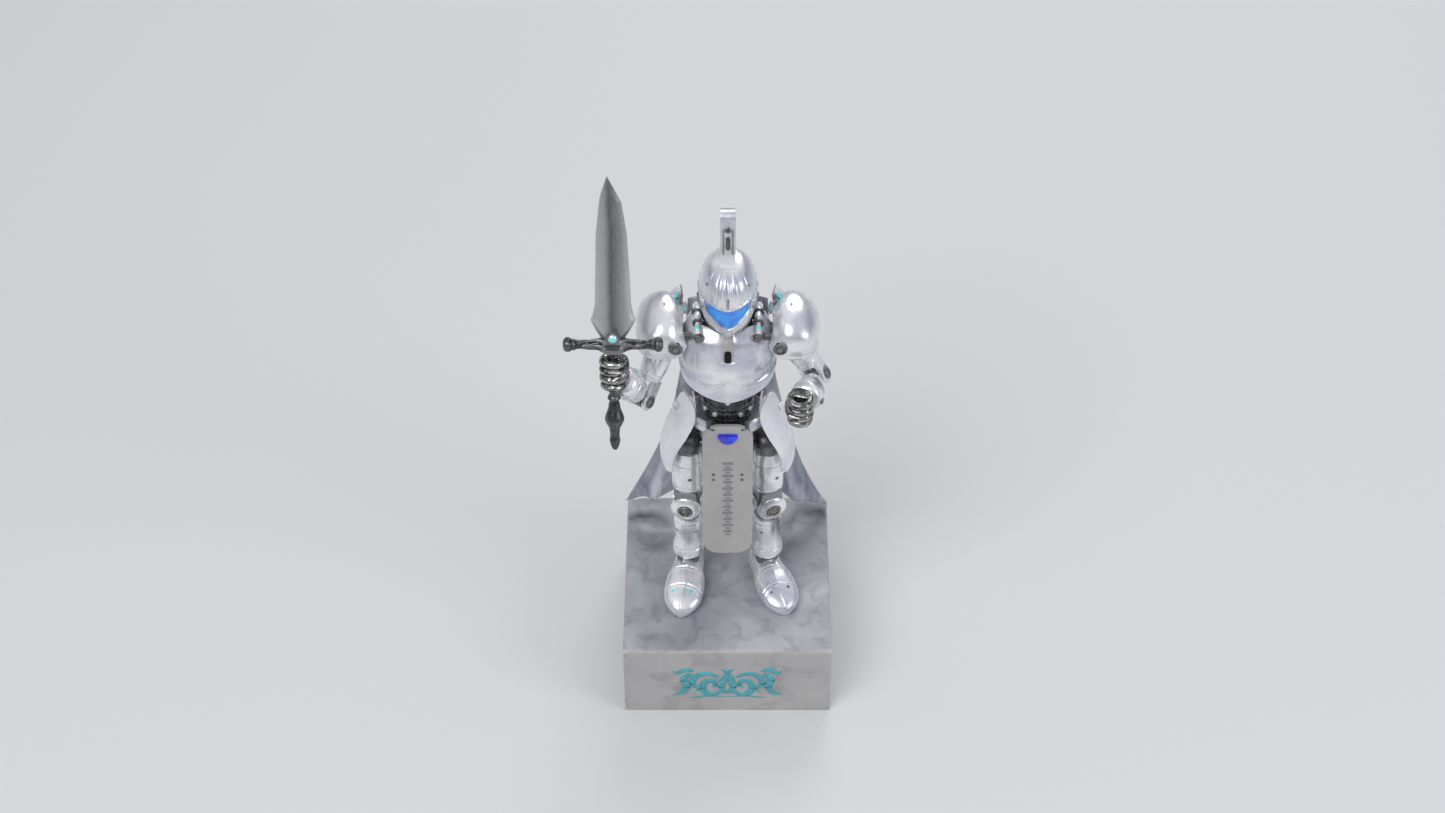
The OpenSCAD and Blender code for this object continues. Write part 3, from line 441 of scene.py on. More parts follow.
# ---- Mesh building, in millimetres ----
def smooth_keys(keys, t):
    """Catmull-Rom interpolation of tuples (t, value, ...) at t."""
    if t <= keys[0][0]:
        return keys[0][1:]
    if t >= keys[-1][0]:
        return keys[-1][1:]
    k = next(i for i in range(len(keys) - 1) if keys[i + 1][0] >= t)
    a, b = keys[k], keys[k + 1]
    before, after = keys[max(k - 1, 0)], keys[min(k + 2, len(keys) - 1)]
    width = b[0] - a[0]
    s = (t - a[0]) / width
    out = []
    for i in range(1, len(a)):
        slope_a = (b[i] - before[i]) / (b[0] - before[0]) * width
        slope_b = (after[i] - a[i]) / (after[0] - a[0]) * width
        out.append((2 * s**3 - 3 * s * s + 1) * a[i] + (s**3 - 2 * s * s + s) * slope_a
                   + (3 * s * s - 2 * s**3) * b[i] + (s**3 - s * s) * slope_b)
    return tuple(out)


def signed_power(v, p):
    """The power of v's size, with v's sign."""
    return math.copysign(abs(v) ** p, v)


class Form:
    """A smooth surface through rings (z, x, y, rx, ry, squareness), optionally in a placed frame."""

    def __init__(self, rings, place=None):
        self.rings = rings
        self.place = place or Matrix.Identity(4)

    def at(self, angle, z, out=0.0):
        """The point at angle and height z, out millimetres proud of the surface."""
        x, y, rx, ry, p = smooth_keys(self.rings, z)
        c, s = math.cos(angle), math.sin(angle)
        p = 2 / p
        return self.place @ Vector((x + (rx + out) * signed_power(c, p), y + (ry + out) * signed_power(s, p),
                                    z))


def column(rings, place=None):
    """A Form whose rings (z, rx, ry, squareness) are all centred on its axis."""
    return Form([(z, 0, 0, rx, ry, p) for z, rx, ry, p in rings], place)


def placed(origin, x_axis, z_axis):
    """The frame at origin (mm) whose Z is z_axis and whose X lies along x_axis."""
    ez = Vector(z_axis).normalized()
    ex = Vector(x_axis)
    ex = (ex - ex.dot(ez) * ez).normalized()
    ey = ez.cross(ex)
    m = Matrix((ex, ey, ez)).transposed().to_4x4()
    m.translation = Vector(origin)
    return m


def bell(x, width):
    """A smooth bump: 1 at x = 0, fading out past width."""
    return math.exp(-(x / width) ** 2)


def groove(z, centre, depth=0.22, width=0.22):
    """Relief, in millimetres, of a narrow groove round a form at z = centre."""
    return -depth * bell(z - centre, width)


def mirrored(profile):
    """The lower half (radius, height) of a turned profile, followed by its mirror image above."""
    return profile + [(r, -h) for r, h in reversed(profile)]


def strip(half, low, high, x=0.0):
    """Outline (x, z) of an upright rectangle centred on x."""
    return [(x - half, low), (x + half, low), (x + half, high), (x - half, high)]


def tube_faces(n, last):
    """Faces of a tube with closed ends, from last + 1 rings of n points."""
    sides = [(j * n + i, j * n + (i + 1) % n, (j + 1) * n + (i + 1) % n, (j + 1) * n + i)
             for j in range(last) for i in range(n)]
    return sides + [tuple(range(n - 1, -1, -1)), tuple(last * n + i for i in range(n))]


class Part:
    """Collects meshes for one named piece; each added mesh has its own material."""

    def __init__(self, name):
        self.name, self.verts, self.faces, self.slots, self.materials = name, [], [], [], []

    def add(self, verts, faces, material):
        if material not in self.materials:
            self.materials.append(material)
        start, slot = len(self.verts), self.materials.index(material)
        self.verts += [Vector(v) * MM for v in verts]
        self.faces += [tuple(start + i for i in f) for f in faces]
        self.slots += [slot] * len(faces)

    def grid(self, f, nu, nv, material, thick=1.0):
        """A patch f(u, v) for u and v from 0 to 1, made thick millimetres thick inwards."""
        points = [[f(i / nu, j / nv) for i in range(nu + 1)] for j in range(nv + 1)]
        flat = [p for row in points for p in row]
        inner = []
        for j in range(nv + 1):
            for i in range(nu + 1):
                du = points[j][min(i + 1, nu)] - points[j][max(i - 1, 0)]
                dv = points[min(j + 1, nv)][i] - points[max(j - 1, 0)][i]
                n = du.cross(dv)
                n = n.normalized() if n.length > 1e-9 else Vector((0, 0, 0))
                inner.append(points[j][i] - n * thick)
        w, total = nu + 1, len(flat)
        faces = []
        for j in range(nv):
            for i in range(nu):
                a = j * w + i
                faces.append((a, a + 1, a + w + 1, a + w))
                faces.append((total + a, total + a + w, total + a + w + 1, total + a + 1))
        for i in range(nu):
            faces.append((i + 1, i, total + i, total + i + 1))
            a = nv * w + i
            faces.append((a, a + 1, total + a + 1, total + a))
        for j in range(nv):
            a, b = j * w, j * w + nu
            faces.append((a, a + w, total + a + w, total + a))
            faces.append((b + w, b, total + b, total + b + w))
        self.add(flat + inner, faces, material)

    def tube(self, form, z0, z1, material, relief=None, nu=64, nv=72):
        """The closed form from z0 to z1, with relief(angle, z) added outwards."""
        verts = []
        for j in range(nv + 1):
            z = z0 + (z1 - z0) * j / nv
            for i in range(nu):
                angle = 2 * math.pi * i / nu
                verts.append(form.at(angle, z, relief(angle, z) if relief else 0.0))
        self.add(verts, tube_faces(nu, nv), material)

    def lathe(self, profile, origin, axis, material, n=40):
        """Turns (radius, height) points about the axis through origin."""
        axis = Vector(axis)
        side = UP if abs(axis.normalized().z) < 0.9 else Vector((1, 0, 0))
        m = placed(origin, side, axis)
        verts = []
        for r, h in profile:
            for i in range(n):
                t = 2 * math.pi * i / n
                verts.append(m @ Vector((max(r, 0.001) * math.cos(t), max(r, 0.001) * math.sin(t), h)))
        self.add(verts, tube_faces(n, len(profile) - 1), material)

    def sweep(self, points, radius, material, n=16, flatten=1.0, side=(0, 0, 1)):
        """A tube along points with radius(t) for t from 0 to 1, flattened across side."""
        points = [Vector(p) for p in points]
        last = len(points) - 1
        verts = []
        for j, p in enumerate(points):
            along = points[min(j + 1, last)] - points[max(j - 1, 0)]
            m = placed(p, side, along)
            r = radius(j / last)
            for i in range(n):
                t = 2 * math.pi * i / n
                verts.append(m @ Vector((r * math.cos(t), r * flatten * math.sin(t), 0)))
        self.add(verts, tube_faces(n, last), material)

    def slab(self, outline, thick, m, material):
        """The flat outline [(x, z)] in frame m, thick millimetres deep along its Y, from y = 0 to -thick."""
        n = len(outline)
        verts = [m @ Vector((x, 0, z)) for x, z in outline] + [m @ Vector((x, -thick, z)) for x, z in outline]
        faces = [tuple(range(n - 1, -1, -1)), tuple(range(n, 2 * n))]
        faces += [(i, (i + 1) % n, n + (i + 1) % n, n + i) for i in range(n)]
        self.add(verts, faces, material)

    def build(self, body, slot, *nodes, bevel=0.0, remesh=0.0, smooth=0):
        """Makes the object, rides it on body and lets it stand for the CAD nodes.

        bevel and remesh are sizes in millimetres, smooth is a number of passes; 0 leaves each out.
        """
        mesh = bpy.data.meshes.new(self.name)
        mesh.from_pydata([tuple(v) for v in self.verts], [], self.faces)
        for material in self.materials:
            mesh.materials.append(material)
        mesh.polygons.foreach_set("material_index", self.slots)
        mesh.update()
        piece = bpy.data.objects.new(self.name, mesh)
        bpy.context.collection.objects.link(piece)
        fix_normals(mesh)
        mesh.polygons.foreach_set("use_smooth", [True] * len(mesh.polygons))
        if remesh:
            m = piece.modifiers.new("remesh", "REMESH")
            m.mode, m.voxel_size, m.use_smooth_shade = "VOXEL", remesh * MM, True
        if smooth:
            m = piece.modifiers.new("smooth", "SMOOTH")
            m.factor, m.iterations = 0.5, smooth
        if bevel:
            m = piece.modifiers.new("bevel", "BEVEL")
            m.width, m.segments, m.limit_method, m.angle_limit = bevel * MM, 2, "ANGLE", math.radians(38)
            m.use_clamp_overlap = True
            w = piece.modifiers.new("weighted", "WEIGHTED_NORMAL")
            w.keep_sharp = True
        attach(piece, body)
        if nodes:
            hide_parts(*nodes)
        return piece


def fix_normals(mesh):
    """Turns every closed shell's faces outwards."""
    b = bmesh.new()
    b.from_mesh(mesh)
    bmesh.ops.recalc_face_normals(b, faces=b.faces)
    b.to_mesh(mesh)
    b.free()


def bolt(part, place, axis, radius, material, socket=BLACK_AND_PAINTED_RECESS_SHADE, height=0.6):
    """A round screw head with a chamfer and a hexagonal socket."""
    r, h = radius, height
    part.lathe([(r * 0.9, -h), (r, -h * 0.6), (r, h * 0.45), (r * 0.86, h * 0.8), (r * 0.55, h * 0.8),
                (r * 0.5, h * 0.2)], place, axis, material, 32)
    # Black hexagon in the socket: painted shade.
    part.lathe([(r * 0.5, 0), (r * 0.5, h * 0.35)], place, axis, socket, 6)


SILVER, WHITE, DARK = MATERIALS["armour_silver"], MATERIALS["armour_white"], MATERIALS["joint_dark"]
FRONT = -math.pi / 2


def spread(u, half, centre=FRONT):
    """Angle across a patch from centre - half to centre + half as u goes from 0 to 1."""
    return centre + (2 * u - 1) * half


# ---- Torso ----
CHEST = Form([(WAIST + 1, 0, -1.5, 11.5, 10.4, 2.2), (WAIST + 5, 0, -1.5, 14, 12, 2.2),
              (WAIST + 11, 0, -1.2, 16.4, 12.9, 2.3), (WAIST + 17, 0, -0.6, 15.8, 12.9, 2.3),
              (SHOULDER - 3.5, 0, 0, 14.6, 12, 2.4), (SHOULDER + 2, 0, 0.4, 14.2, 10.2, 2.4),
              (SHOULDER + 5.2, 0, 0.8, 11.8, 7.6, 2.3), (SHOULDER + 6.4, 0, 1, 9.4, 6, 2.2)])


def chest_relief(angle, z):
    """Pectoral swell with a keel down the middle of the lower chest."""
    across = abs(angle - FRONT)
    high = (z - WAIST) / (SHOULDER - WAIST)
    keel = 0.9 * bell(across, 0.16) * max(0.0, 1 - abs(high - 0.35) / 0.5)
    swell = 0.5 * bell(across - 0.55, 0.34) * bell(high - 0.62, 0.3)
    return keel + swell


def chest_rim(x):
    """Height of the breast plate's lower edge at x: a small peak in the middle, then a shallow wing."""
    return WAIST + smooth_keys([(0, 15), (2.2, 13.4), (5, 11.5), (8, 11.6), (12, 12.6), (17, 13.4)],
                               abs(x))[0]


def make_chest():
    """Breast, belly and back plates, the inlay, the collar and the shoulder tubes."""
    half = math.radians(89)

    def breast(u, v):
        a = spread(u, half)
        low = chest_rim(CHEST.at(a, WAIST + 12).x)
        z = low + v * (SHOULDER + 5.9 - low)
        lip = 0.35 * bell(z - low - 0.5, 0.6)
        hollow = -0.9 * bell((a - FRONT) * 12.5, 1.5) ** 2 * (1 if z > WAIST + 22 else 0)
        hollow -= 0.9 * bell(z - WAIST - 14.6, 2.2) * min(1, abs(CHEST.at(a, z).x) / 6)
        return CHEST.at(a, z, 0.9 + chest_relief(a, z) * min(1, v * 6) + lip + hollow)

    part = Part("breast_plate_shell")
    part.grid(breast, 180, 96, SILVER, 1.5)
    part.build("torso", "armour_silver", "breast_plate", bevel=0.15)

    def belly(u, v):
        a = spread(u, math.radians(78))
        x = CHEST.at(a, WAIST + 8).x
        low = WAIST + 2.6 + 0.36 * abs(x)
        z = low + v * (chest_rim(x) + 1.5 - low)
        ridge = 1.1 * bell(x, 0.9) * (1 - 0.5 * v)
        facet = -0.7 * bell(abs(x) - 7.5, 3) * v
        return CHEST.at(a, z, 0.1 + ridge + facet + 0.2 * bell(v, 0.06))

    part = Part("belly_plate_shell")
    part.grid(belly, 140, 48, SILVER, 0.9)
    part.build("torso", "armour_silver", "belly_plate", bevel=0.14)

    def back(u, v):
        a = spread(u, math.radians(89.5), -FRONT)
        z = WAIST + 5.4 + v * (SHOULDER + 0.4 - WAIST)
        spine = -0.6 * bell((a + FRONT) * 12, 1.2)
        blades = 0.7 * bell(abs(a + FRONT) - 0.7, 0.3) * bell((z - SHOULDER + 4) / 8, 1)
        return CHEST.at(a, z, spine + blades
                        + groove(z, WAIST + 14, 0.3, 0.3) + groove(z, WAIST + 9, 0.3, 0.3))

    part = Part("back_plate_shell")
    part.grid(back, 140, 80, SILVER, 1.3)
    part.build("torso", "armour_silver", "back_plate", bevel=0.18)

    def stripe(u, v):
        z = WAIST + 21.6 + v * (SHOULDER + 5.2 - WAIST - 21.6)
        x = (2 * u - 1) * (0.9 + 0.35 * v) * math.sqrt(max(0.02, 1 - max(0.0, 1 - v / 0.14) ** 2))
        return CHEST.at(FRONT + x / 13.4, z, 0.75)

    part = Part("chest_stripe_inlay")
    part.grid(stripe, 16, 60, MATERIALS["plate_grey"], 1.2)

    # Black sheet over the chest slot: painted shade in the slot.
    def slot(u, v):
        x = (2 * u - 1) * 0.62 * math.sqrt(max(0.02, 1 - (2 * v - 1) ** 6))
        return CHEST.at(FRONT + x / 13.4, WAIST + 22.1 + v * 4.2, 0.95)

    part.grid(slot, 12, 24, BLACK_AND_PAINTED_RECESS_SHADE, 0.6)
    part.build("torso", "plate_grey", "chest_stripe", bevel=0.08)

    part = Part("collar_gap")
    part.lathe([(6.5, SHOULDER + 3.7), (7.9, SHOULDER + 3.8), (8.5, SHOULDER + 5.2), (8.6, SHOULDER + 6.2),
                (8.2, SHOULDER + 7), (7.4, SHOULDER + 7.1), (6.9, SHOULDER + 6.2), (6.5, SHOULDER + 4.4)],
               (0, 0, 0), UP, DARK, 96)
    part.build("torso", "joint_dark", "collar_ring", bevel=0.1)

    part = Part("shoulder_tubes")
    for side in (-1, 1):
        line = [Vector((side * (9.9 + 0.8 * t), -9 + 16 * t, SHOULDER + 4.2 + 2.6 * math.sin(math.pi * t)))
                for t in [k / 16 for k in range(17)]]
        part.sweep(line, lambda t: 1.35 - 0.5 * bell(t - 0.28, 0.05) - 0.5 * bell(t - 0.62, 0.05), CHROME, 20)
        part.lathe([(0.4, -1.3), (1.3, -1), (1.75, 0), (1.3, 1.1), (0.5, 1.5)], line[0], (0, -1, 0.1), DARK,
                   28)
        for k in (5, 10):
            part.lathe(mirrored([(1.6, -0.5), (1.85, -0.3)]), line[k], (0, 1, 0), DARK, 28)
        # Small teal bit with a painted glow, standing in for a teal glint.
        part.lathe([(0.7, -0.2), (0.7, 0.25), (0.3, 0.4)], line[3] + Vector((0, -0.6, 1.2)), (0, -0.4, 1),
                   TEAL_GLINT, 16)
    part.build("torso", "armour_silver", bevel=0.05)


def make_waist():
    """Dark bowl of the abdomen with segmented ribs, and its core inside the torso."""
    part = Part("abdomen_bowl_ribbed")
    form = column([(HIP + 15.8, 8.2, 8.2, 2), (HIP + 19.2, 9.2, 9.2, 2), (HIP + 24.6, 9.3, 9.3, 2),
                   (HIP + 26.6, 8.8, 8.8, 2), (HIP + 28.6, 8.2, 8.2, 2), (HIP + 29.5, 5.2, 5.2, 2)])

    def ribs(angle, z):
        ring = 0.22 * math.cos((z - HIP) * 2.6)
        return -0.25 + ring * 0.8 - 0.5 * bell(math.sin(angle * 4), 0.16) * (1 if z < HIP + 27 else 0)

    part.tube(form, HIP + 15.8, HIP + 29.5, DARK, ribs, 144, 80)
    part.lathe([(2.9, HIP + 9), (2.9, HIP + 16.5)], (0, 0, 0), UP, DARK)
    for side in (-1, 1):
        for turn in (0.5, 1.0):
            a = FRONT + side * turn
            bolt(part, form.at(a, HIP + 21.6, -0.1), (math.cos(a), math.sin(a), 0), 0.9, SILVER)
    part.build("abdomen", "joint_dark", "abdomen_bowl", bevel=0.08)


def make_belt():
    """Curved belt plates in front and behind, the front one lower in the middle."""
    form = column([(HIP + 11.6, 12.6, 9.6, 2.2), (HIP + 14, 13.9, 10.7, 2.2),
                   (HIP + 18, 14.3, 11.1, 2.2), (HIP + 20.3, 13.6, 10.6, 2.2)])
    part = Part("belt_plate_curved")

    def band(half, centre, drop):
        def f(u, v):
            a = spread(u, half, centre)
            away = abs(a - centre) / half
            low = HIP + 11.9 + 1.6 * away**2
            high = HIP + 20.2 - drop * bell(away, 0.42) - 1.2 * away**3
            return form.at(a, low + v * (high - low), 0.35 * bell(v - 0.85, 0.12) - 0.25 * bell(v - 0.5, 0.1))
        return f

    part.grid(band(math.radians(64), FRONT, 3.4), 96, 30, SILVER, 1.1)
    part.grid(band(math.radians(58), -FRONT, 0), 80, 24, SILVER, 1.1)
    part.build("pelvis", "armour_silver", "belt_plate", bevel=0.16)


# ---- Hanging plates ----
def rounded(half_w, low, high, r, steps=7):
    """Outline (x, z) of a rectangle with round corners."""
    corners = [(half_w - r, high - r, 0), (-half_w + r, high - r, 90), (-half_w + r, low + r, 180),
               (half_w - r, low + r, 270)]
    return [(cx + r * math.cos(math.radians(start + 90 * k / steps)),
             cz + r * math.sin(math.radians(start + 90 * k / steps)))
            for cx, cz, start in corners for k in range(steps + 1)]


def make_tabard():
    """Hanging front plate with its gem, studs and column of bars, tilted slightly back."""
    hinge = joint_at("tabard_swing")
    m = Matrix.Translation(hinge) @ Matrix.Rotation(math.radians(-2.5), 4, "X")
    low, high = node_box("tabard_plate")
    half = (high.x - low.x) / 2
    part = Part("tabard_plate_bevelled")
    thick = 1.6
    rear = m @ Matrix.Translation((0, thick / 2, 0))
    part.slab(rounded(half + 0.7, -60.5, 2, 6), thick, rear, MATERIALS["plate_grey"])
    part.build("tabard", "plate_grey", "tabard_plate", bevel=0.22)

    part = Part("tabard_gem_cut")
    gem = m @ Matrix.Translation((0, -thick / 2, -3.5))
    outline = [(-3.2, 2.1), (3.2, 2.1), (3.6, 1.3), (3.1, -0.5), (1.8, -2.1), (0, -2.7), (-1.8, -2.1),
               (-3.1, -0.5), (-3.6, 1.3)]
    n = len(outline)
    rings = ((1.0, 0.3), (1.0, -0.45), (0.8, -0.8), (0.6, -0.85))
    verts = [gem @ Vector((x * s, y, z * s)) for s, y in rings for x, z in outline]
    faces = [(j * n + i, j * n + (i + 1) % n, (j + 1) * n + (i + 1) % n, (j + 1) * n + i)
             for j in range(len(rings) - 1) for i in range(n)]
    faces += [tuple(range(n)), tuple((len(rings) - 1) * n + i for i in range(n))]
    part.add(verts, faces, MATERIALS["gem_blue"])
    part.build("tabard", "gem_blue", "tabard_gem", bevel=0.07)

    part = Part("tabard_studs_and_bars")
    face = m @ Matrix.Translation((0, -thick / 2, 0))
    for x in (-5, 5):
        for z in (-21, -23.4):
            part.lathe([(0.62, -0.2), (0.62, 0.12), (0.4, 0.3), (0.1, 0.34)], face @ Vector((x, 0, z)),
                       m.to_3x3() @ AHEAD, DARK, 20)
    for k in range(12):
        bar = face @ Matrix.Translation((0, 0.05, -15.5 - 3.05 * k))
        wide = (1.9, 1.5)[k % 2]
        part.slab(strip(wide, -0.55, 0.55), 0.18, bar, BLACK_AND_PAINTED_RECESS_SHADE)
        part.slab(strip(0.9, -1.95, -1.25), 0.18, bar, DARK)
    part.build("tabard", "plate_grey", "tabard_studs", bevel=0.04)


def make_tasset(word):
    """Petal-shaped hip plate, given for the left side and mirrored for the right."""
    side = SIDES[word]
    form = Form([(HIP - 12, 10, 2, 14.5, 12.5, 2.2), (HIP, 10, 2, 14, 12, 2.2),
                 (HIP + 12, 9, 1, 12, 11.6, 2.2),
                 (HIP + 22, 8, 1, 9.4, 10.2, 2.2), (HIP + 30, 8, 1, 8, 9, 2.2)])
    centre = math.radians(-38)
    outline = [(HIP - 8.6, -0.02, 0.16), (HIP - 7.4, 0.16, 0.2), (HIP - 5, 0.34, 0.22), (HIP - 1, 0.5, 0.27),
               (HIP + 5, 0.62, 0.38), (HIP + 12, 0.66, 0.52), (HIP + 19, 0.62, 0.62), (HIP + 25, 0.46, 0.5),
               (HIP + 28.2, 0.2, 0.22)]

    def petal(u, v):
        z = HIP - 8.6 + v * 36.8
        back, fore = smooth_keys(outline, z)
        a = centre + (1 - u) * back - u * fore
        rib = 0.35 * bell(u - 0.5, 0.08) * (1 - v)
        p = form.at(a, z, rib - 0.2 * bell(u - 0.08, 0.03) - 0.2 * bell(u - 0.92, 0.03))
        return Vector((side * p.x, p.y, p.z))

    part = Part(f"tasset_{word}_petal")
    part.grid(petal, 56, 90, WHITE, 1.2 * (-side))
    part.build(f"tasset_{word}", "armour_white", f"tasset_{word}", bevel=0.16)


def make_tasset_pins():
    """Hinge pins whose heads show on the hip plates."""
    part = Part("tasset_hinge_rivets")
    outermost = node_box("tasset_pins")[1].x
    for word, side in SIDES.items():
        hinge, axis = joint_at(f"tasset_{word}_swing"), Vector(joints[f"tasset_{word}_swing"]["axis"])
        out = axis if axis.x * side > 0 else -axis
        reach = (outermost - abs(hinge.x)) / abs(out.x)
        part.lathe([(0.9, -4), (0.9, reach - 1), (1.5, reach - 0.9), (1.5, reach - 0.5), (1.1, reach - 0.15),
                    (0.4, reach)],
                   hinge, out, CHROME, 32)
    part.build("pelvis", "joint_dark", "tasset_pins", bevel=0.05)


# ---- Head ----
HELM = Form([(TEMPLE - 11.3, 0, -2, 6.2, 11, 2.1), (TEMPLE - 8, 0, -1.4, 8.4, 11.6, 2.1),
             (TEMPLE - 2, 0, -0.4, 9.5, 12, 2.1), (TEMPLE + 3, 0, 0, 9.2, 11.8, 2.1),
             (TEMPLE + 7, 0, 0.3, 7.8, 10.2, 2.1), (TEMPLE + 9.8, 0, 0.5, 5.4, 7, 2),
             (TEMPLE + 10.8, 0, 0.5, 2.6, 3.4, 2), (TEMPLE + 11.1, 0, 0.5, 0.2, 0.3, 2)])
WINDOW = [(0, 0, -8.3), (0.2, 2, -7.5), (0.4, 4, -6.2), (0.62, 6.5, -4.1), (0.82, 7.6, -1.6), (1, 7.9, 0.6)]
JAW_EDGE = [(0, 0, -11.2), (0.2, 3.6, -10.6), (0.4, 6.7, -9), (0.62, 9.1, -5.6), (0.82, 9.8, -2.4),
            (1, 9.6, 0.9)]


def face_point(x, z, out=0.0):
    """The point of the helmet's front at x and at z above the temples, out millimetres proud."""
    _, y, rx, ry, p = smooth_keys(HELM.rings, TEMPLE + z)
    k = min(0.995, abs(x) / (rx + out))
    return Vector((x, y - (ry + out) * (1 - k**p) ** (1 / p), TEMPLE + z))


def brow_edge(x):
    """Height above the temples of the V-shaped lower edge of the brow."""
    return -1 + 2.5 * min(1, abs(x) / 9.5)


def make_head():
    """Helmet, lens, jaw and temple rivets on the head; brow and crest on the visor."""
    part = Part("skull_dome")
    rings = [(8.35 * math.sin(t), 9.35 * math.cos(t), 9.35 * math.cos(t), 2)
             for t in [math.radians(a) for a in range(-80, 81, 8)]]
    dome = column([(-8.35, 0.3, 0.3, 2)] + rings + [(8.35, 0.3, 0.3, 2)],
                  placed((0, 0, TEMPLE), (0, 0, 1), (1, 0, 0)))
    part.tube(dome, -8.35, 8.35, SILVER, lambda a, z: groove(z, 3.3, 0.25, 0.2) + groove(z, -3.3, 0.25, 0.2),
              120, 72)
    guard = column([(TEMPLE - 11.2, 8, 8, 2), (TEMPLE - 8.4, 9.2, 9.2, 2),
                    (TEMPLE - 5.2, 9.5, 9.5, 2), (TEMPLE - 3.8, 8.8, 8.8, 2)])

    def neck_guard(u, v):
        a = spread(u, math.radians(92), -FRONT)
        z = TEMPLE - 11.1 + v * 7.1
        return guard.at(a, z, groove(z, TEMPLE - 8.6, 0.25, 0.2))

    part.grid(neck_guard, 96, 36, SILVER, 1.6)
    part.build("head", "armour_silver", "helmet", bevel=0.12)

    def lens(u, v):
        t = 2 * u - 1
        x, low = smooth_keys(WINDOW, abs(t))
        x = math.copysign(x, t) * 0.985
        return face_point(x, low + 0.15 + v * (brow_edge(x) - 0.35 - low), -0.25 + 0.5 * v * (1 - v))

    def corner(u, v, side):
        """A pale patch near an outer corner of the lens, just in front of it: a painted highlight."""
        return lens(0.5 + side * (0.34 + 0.155 * u), 0.12 + 0.76 * v) + Vector((0, -0.1, 0))

    part = Part("eye_lens_curved")
    part.grid(lens, 96, 30, MATERIALS["lens_blue"], 1.0)
    for side in (-1, 1):
        part.grid(lambda u, v, side=side: corner(u, v, side), 16, 16, LENS_PAINTED_HIGHLIGHT, 0.3 * side)
    edge = [face_point(x, brow_edge(x) - 0.3, -0.05) for x in [-7.7 + 15.4 * k / 60 for k in range(61)]]
    part.sweep(edge, lambda t: 0.34, LENS_DEEP, 12)
    part.build("head", "lens_blue", "eye_lens", bevel=0.05)

    def jaw(u, v):
        t = 2 * u - 1
        (x0, z0), (x1, z1) = smooth_keys(WINDOW, abs(t)), smooth_keys(JAW_EDGE, abs(t))
        bulge = 0.45 * bell(v - 0.9, 0.14) + 0.2 * bell(v - 0.05, 0.1) - 0.25 * bell(v - 0.55, 0.1)
        chin = 0.5 * bell(t, 0.05) * (1 - v)
        return face_point(math.copysign(x1 + (x0 - x1) * v, t), z1 + (z0 - z1) * v, 0.35 + bulge + chin)

    part = Part("jaw_plate_u")
    part.grid(jaw, 150, 28, SILVER, 1.7)
    gorget = [face_point(side * x, z + 0.25, 0.15)
              for side, keys in ((-1, JAW_EDGE[4::-1]), (1, JAW_EDGE[1:5])) for _, x, z in keys]
    part.sweep(gorget, lambda t: 0.75, DARK, 14)
    for side in (-1, 1):
        spot = face_point(side * 8.6, -4.2, 0.3)
        bolt(part, spot, (side, -0.35, 0), 0.75, DARK, height=0.4)
        part.lathe([(3.4, -1.6), (3.4, 0), (2.9, 0.5), (1.6, 0.55)], (side * 8.6, -0.2, TEMPLE - 2.8),
                   (side, 0, 0), DARK, 40)
    part.build("head", "armour_silver", "jaw_plate", bevel=0.12)

    part = Part("temple_bolts")
    for side in (-1, 1):
        part.lathe([(1.1, -3.2), (1.1, 0), (1.35, 0.05), (1.35, 0.25), (1.1, 0.4), (0.3, 0.45)],
                   (side * 9.75, 0, TEMPLE), (side, 0, 0), SILVER, 32)
        part.lathe([(0.5, 0.3), (0.5, 0.5)], (side * 9.75, 0, TEMPLE), (side, 0, 0), BLACK_AND_PAINTED_RECESS_SHADE, 6)
    part.build("head", "joint_dark", "temple_rivets", bevel=0.05)

    rim = [(0, -1), (40, 0.65), (66, 1.3), (74, 1.4), (78, -1.5), (80, -1.8), (96, -1.8), (99, -1.4),
           (103, 1.6), (180, 2.4)]

    def brow(u, v):
        a = 2 * math.pi * u - FRONT
        away = abs(math.degrees(math.remainder(a - FRONT, 2 * math.pi)))
        k = next(i for i in range(len(rim) - 1) if rim[i + 1][0] >= away - 1e-9)
        (a0, z0), (a1, z1) = rim[k], rim[k + 1]
        low = z0 + (z1 - z0) * (away - a0) / (a1 - a0)
        z = TEMPLE + low + (11.1 - low) * (1 - (1 - v) ** 1.5)
        wide = smooth_keys(HELM.rings, z)[2]
        w = HELM.at(a, z).x / max(wide, 0.5)
        fade = min(1, v * 12) * min(1, (1 - v) * 8)
        seams = -0.26 * (bell(abs(w) - 0.2, 0.022) + bell(abs(w) - 0.44, 0.022)
                         + 0.8 * bell(abs(w) - 0.74, 0.02))
        ridge = 0.75 * bell(w, 0.07) + 0.3 * bell(abs(w) - 0.32, 0.08)
        return HELM.at(a, z, 0.25 + (seams + ridge) * fade + 0.35 * bell(v - 0.015, 0.03))

    part = Part("brow_plate_ribbed")
    part.grid(brow, 280, 90, SILVER, 0.9)
    slope = (face_point(0, 4.6) - face_point(0, 0.6)).normalized()
    # Black slit on the brow: painted shade in a slot.
    part.slab(rounded(0.42, 0, 3.8, 0.35), 0.3, placed(face_point(0, 0.9, 1.15), (1, 0, 0), slope),
              BLACK_AND_PAINTED_RECESS_SHADE)
    for side in (-1, 1):
        spot = face_point(side * 6.9, 6, 0.35)
        part.lathe([(0.6, -0.3), (0.6, 0.15), (0.3, 0.3)], spot, spot - Vector((0, 0, TEMPLE)), DARK, 20)
    part.build("visor", "armour_silver", "brow_plate", bevel=0.08)

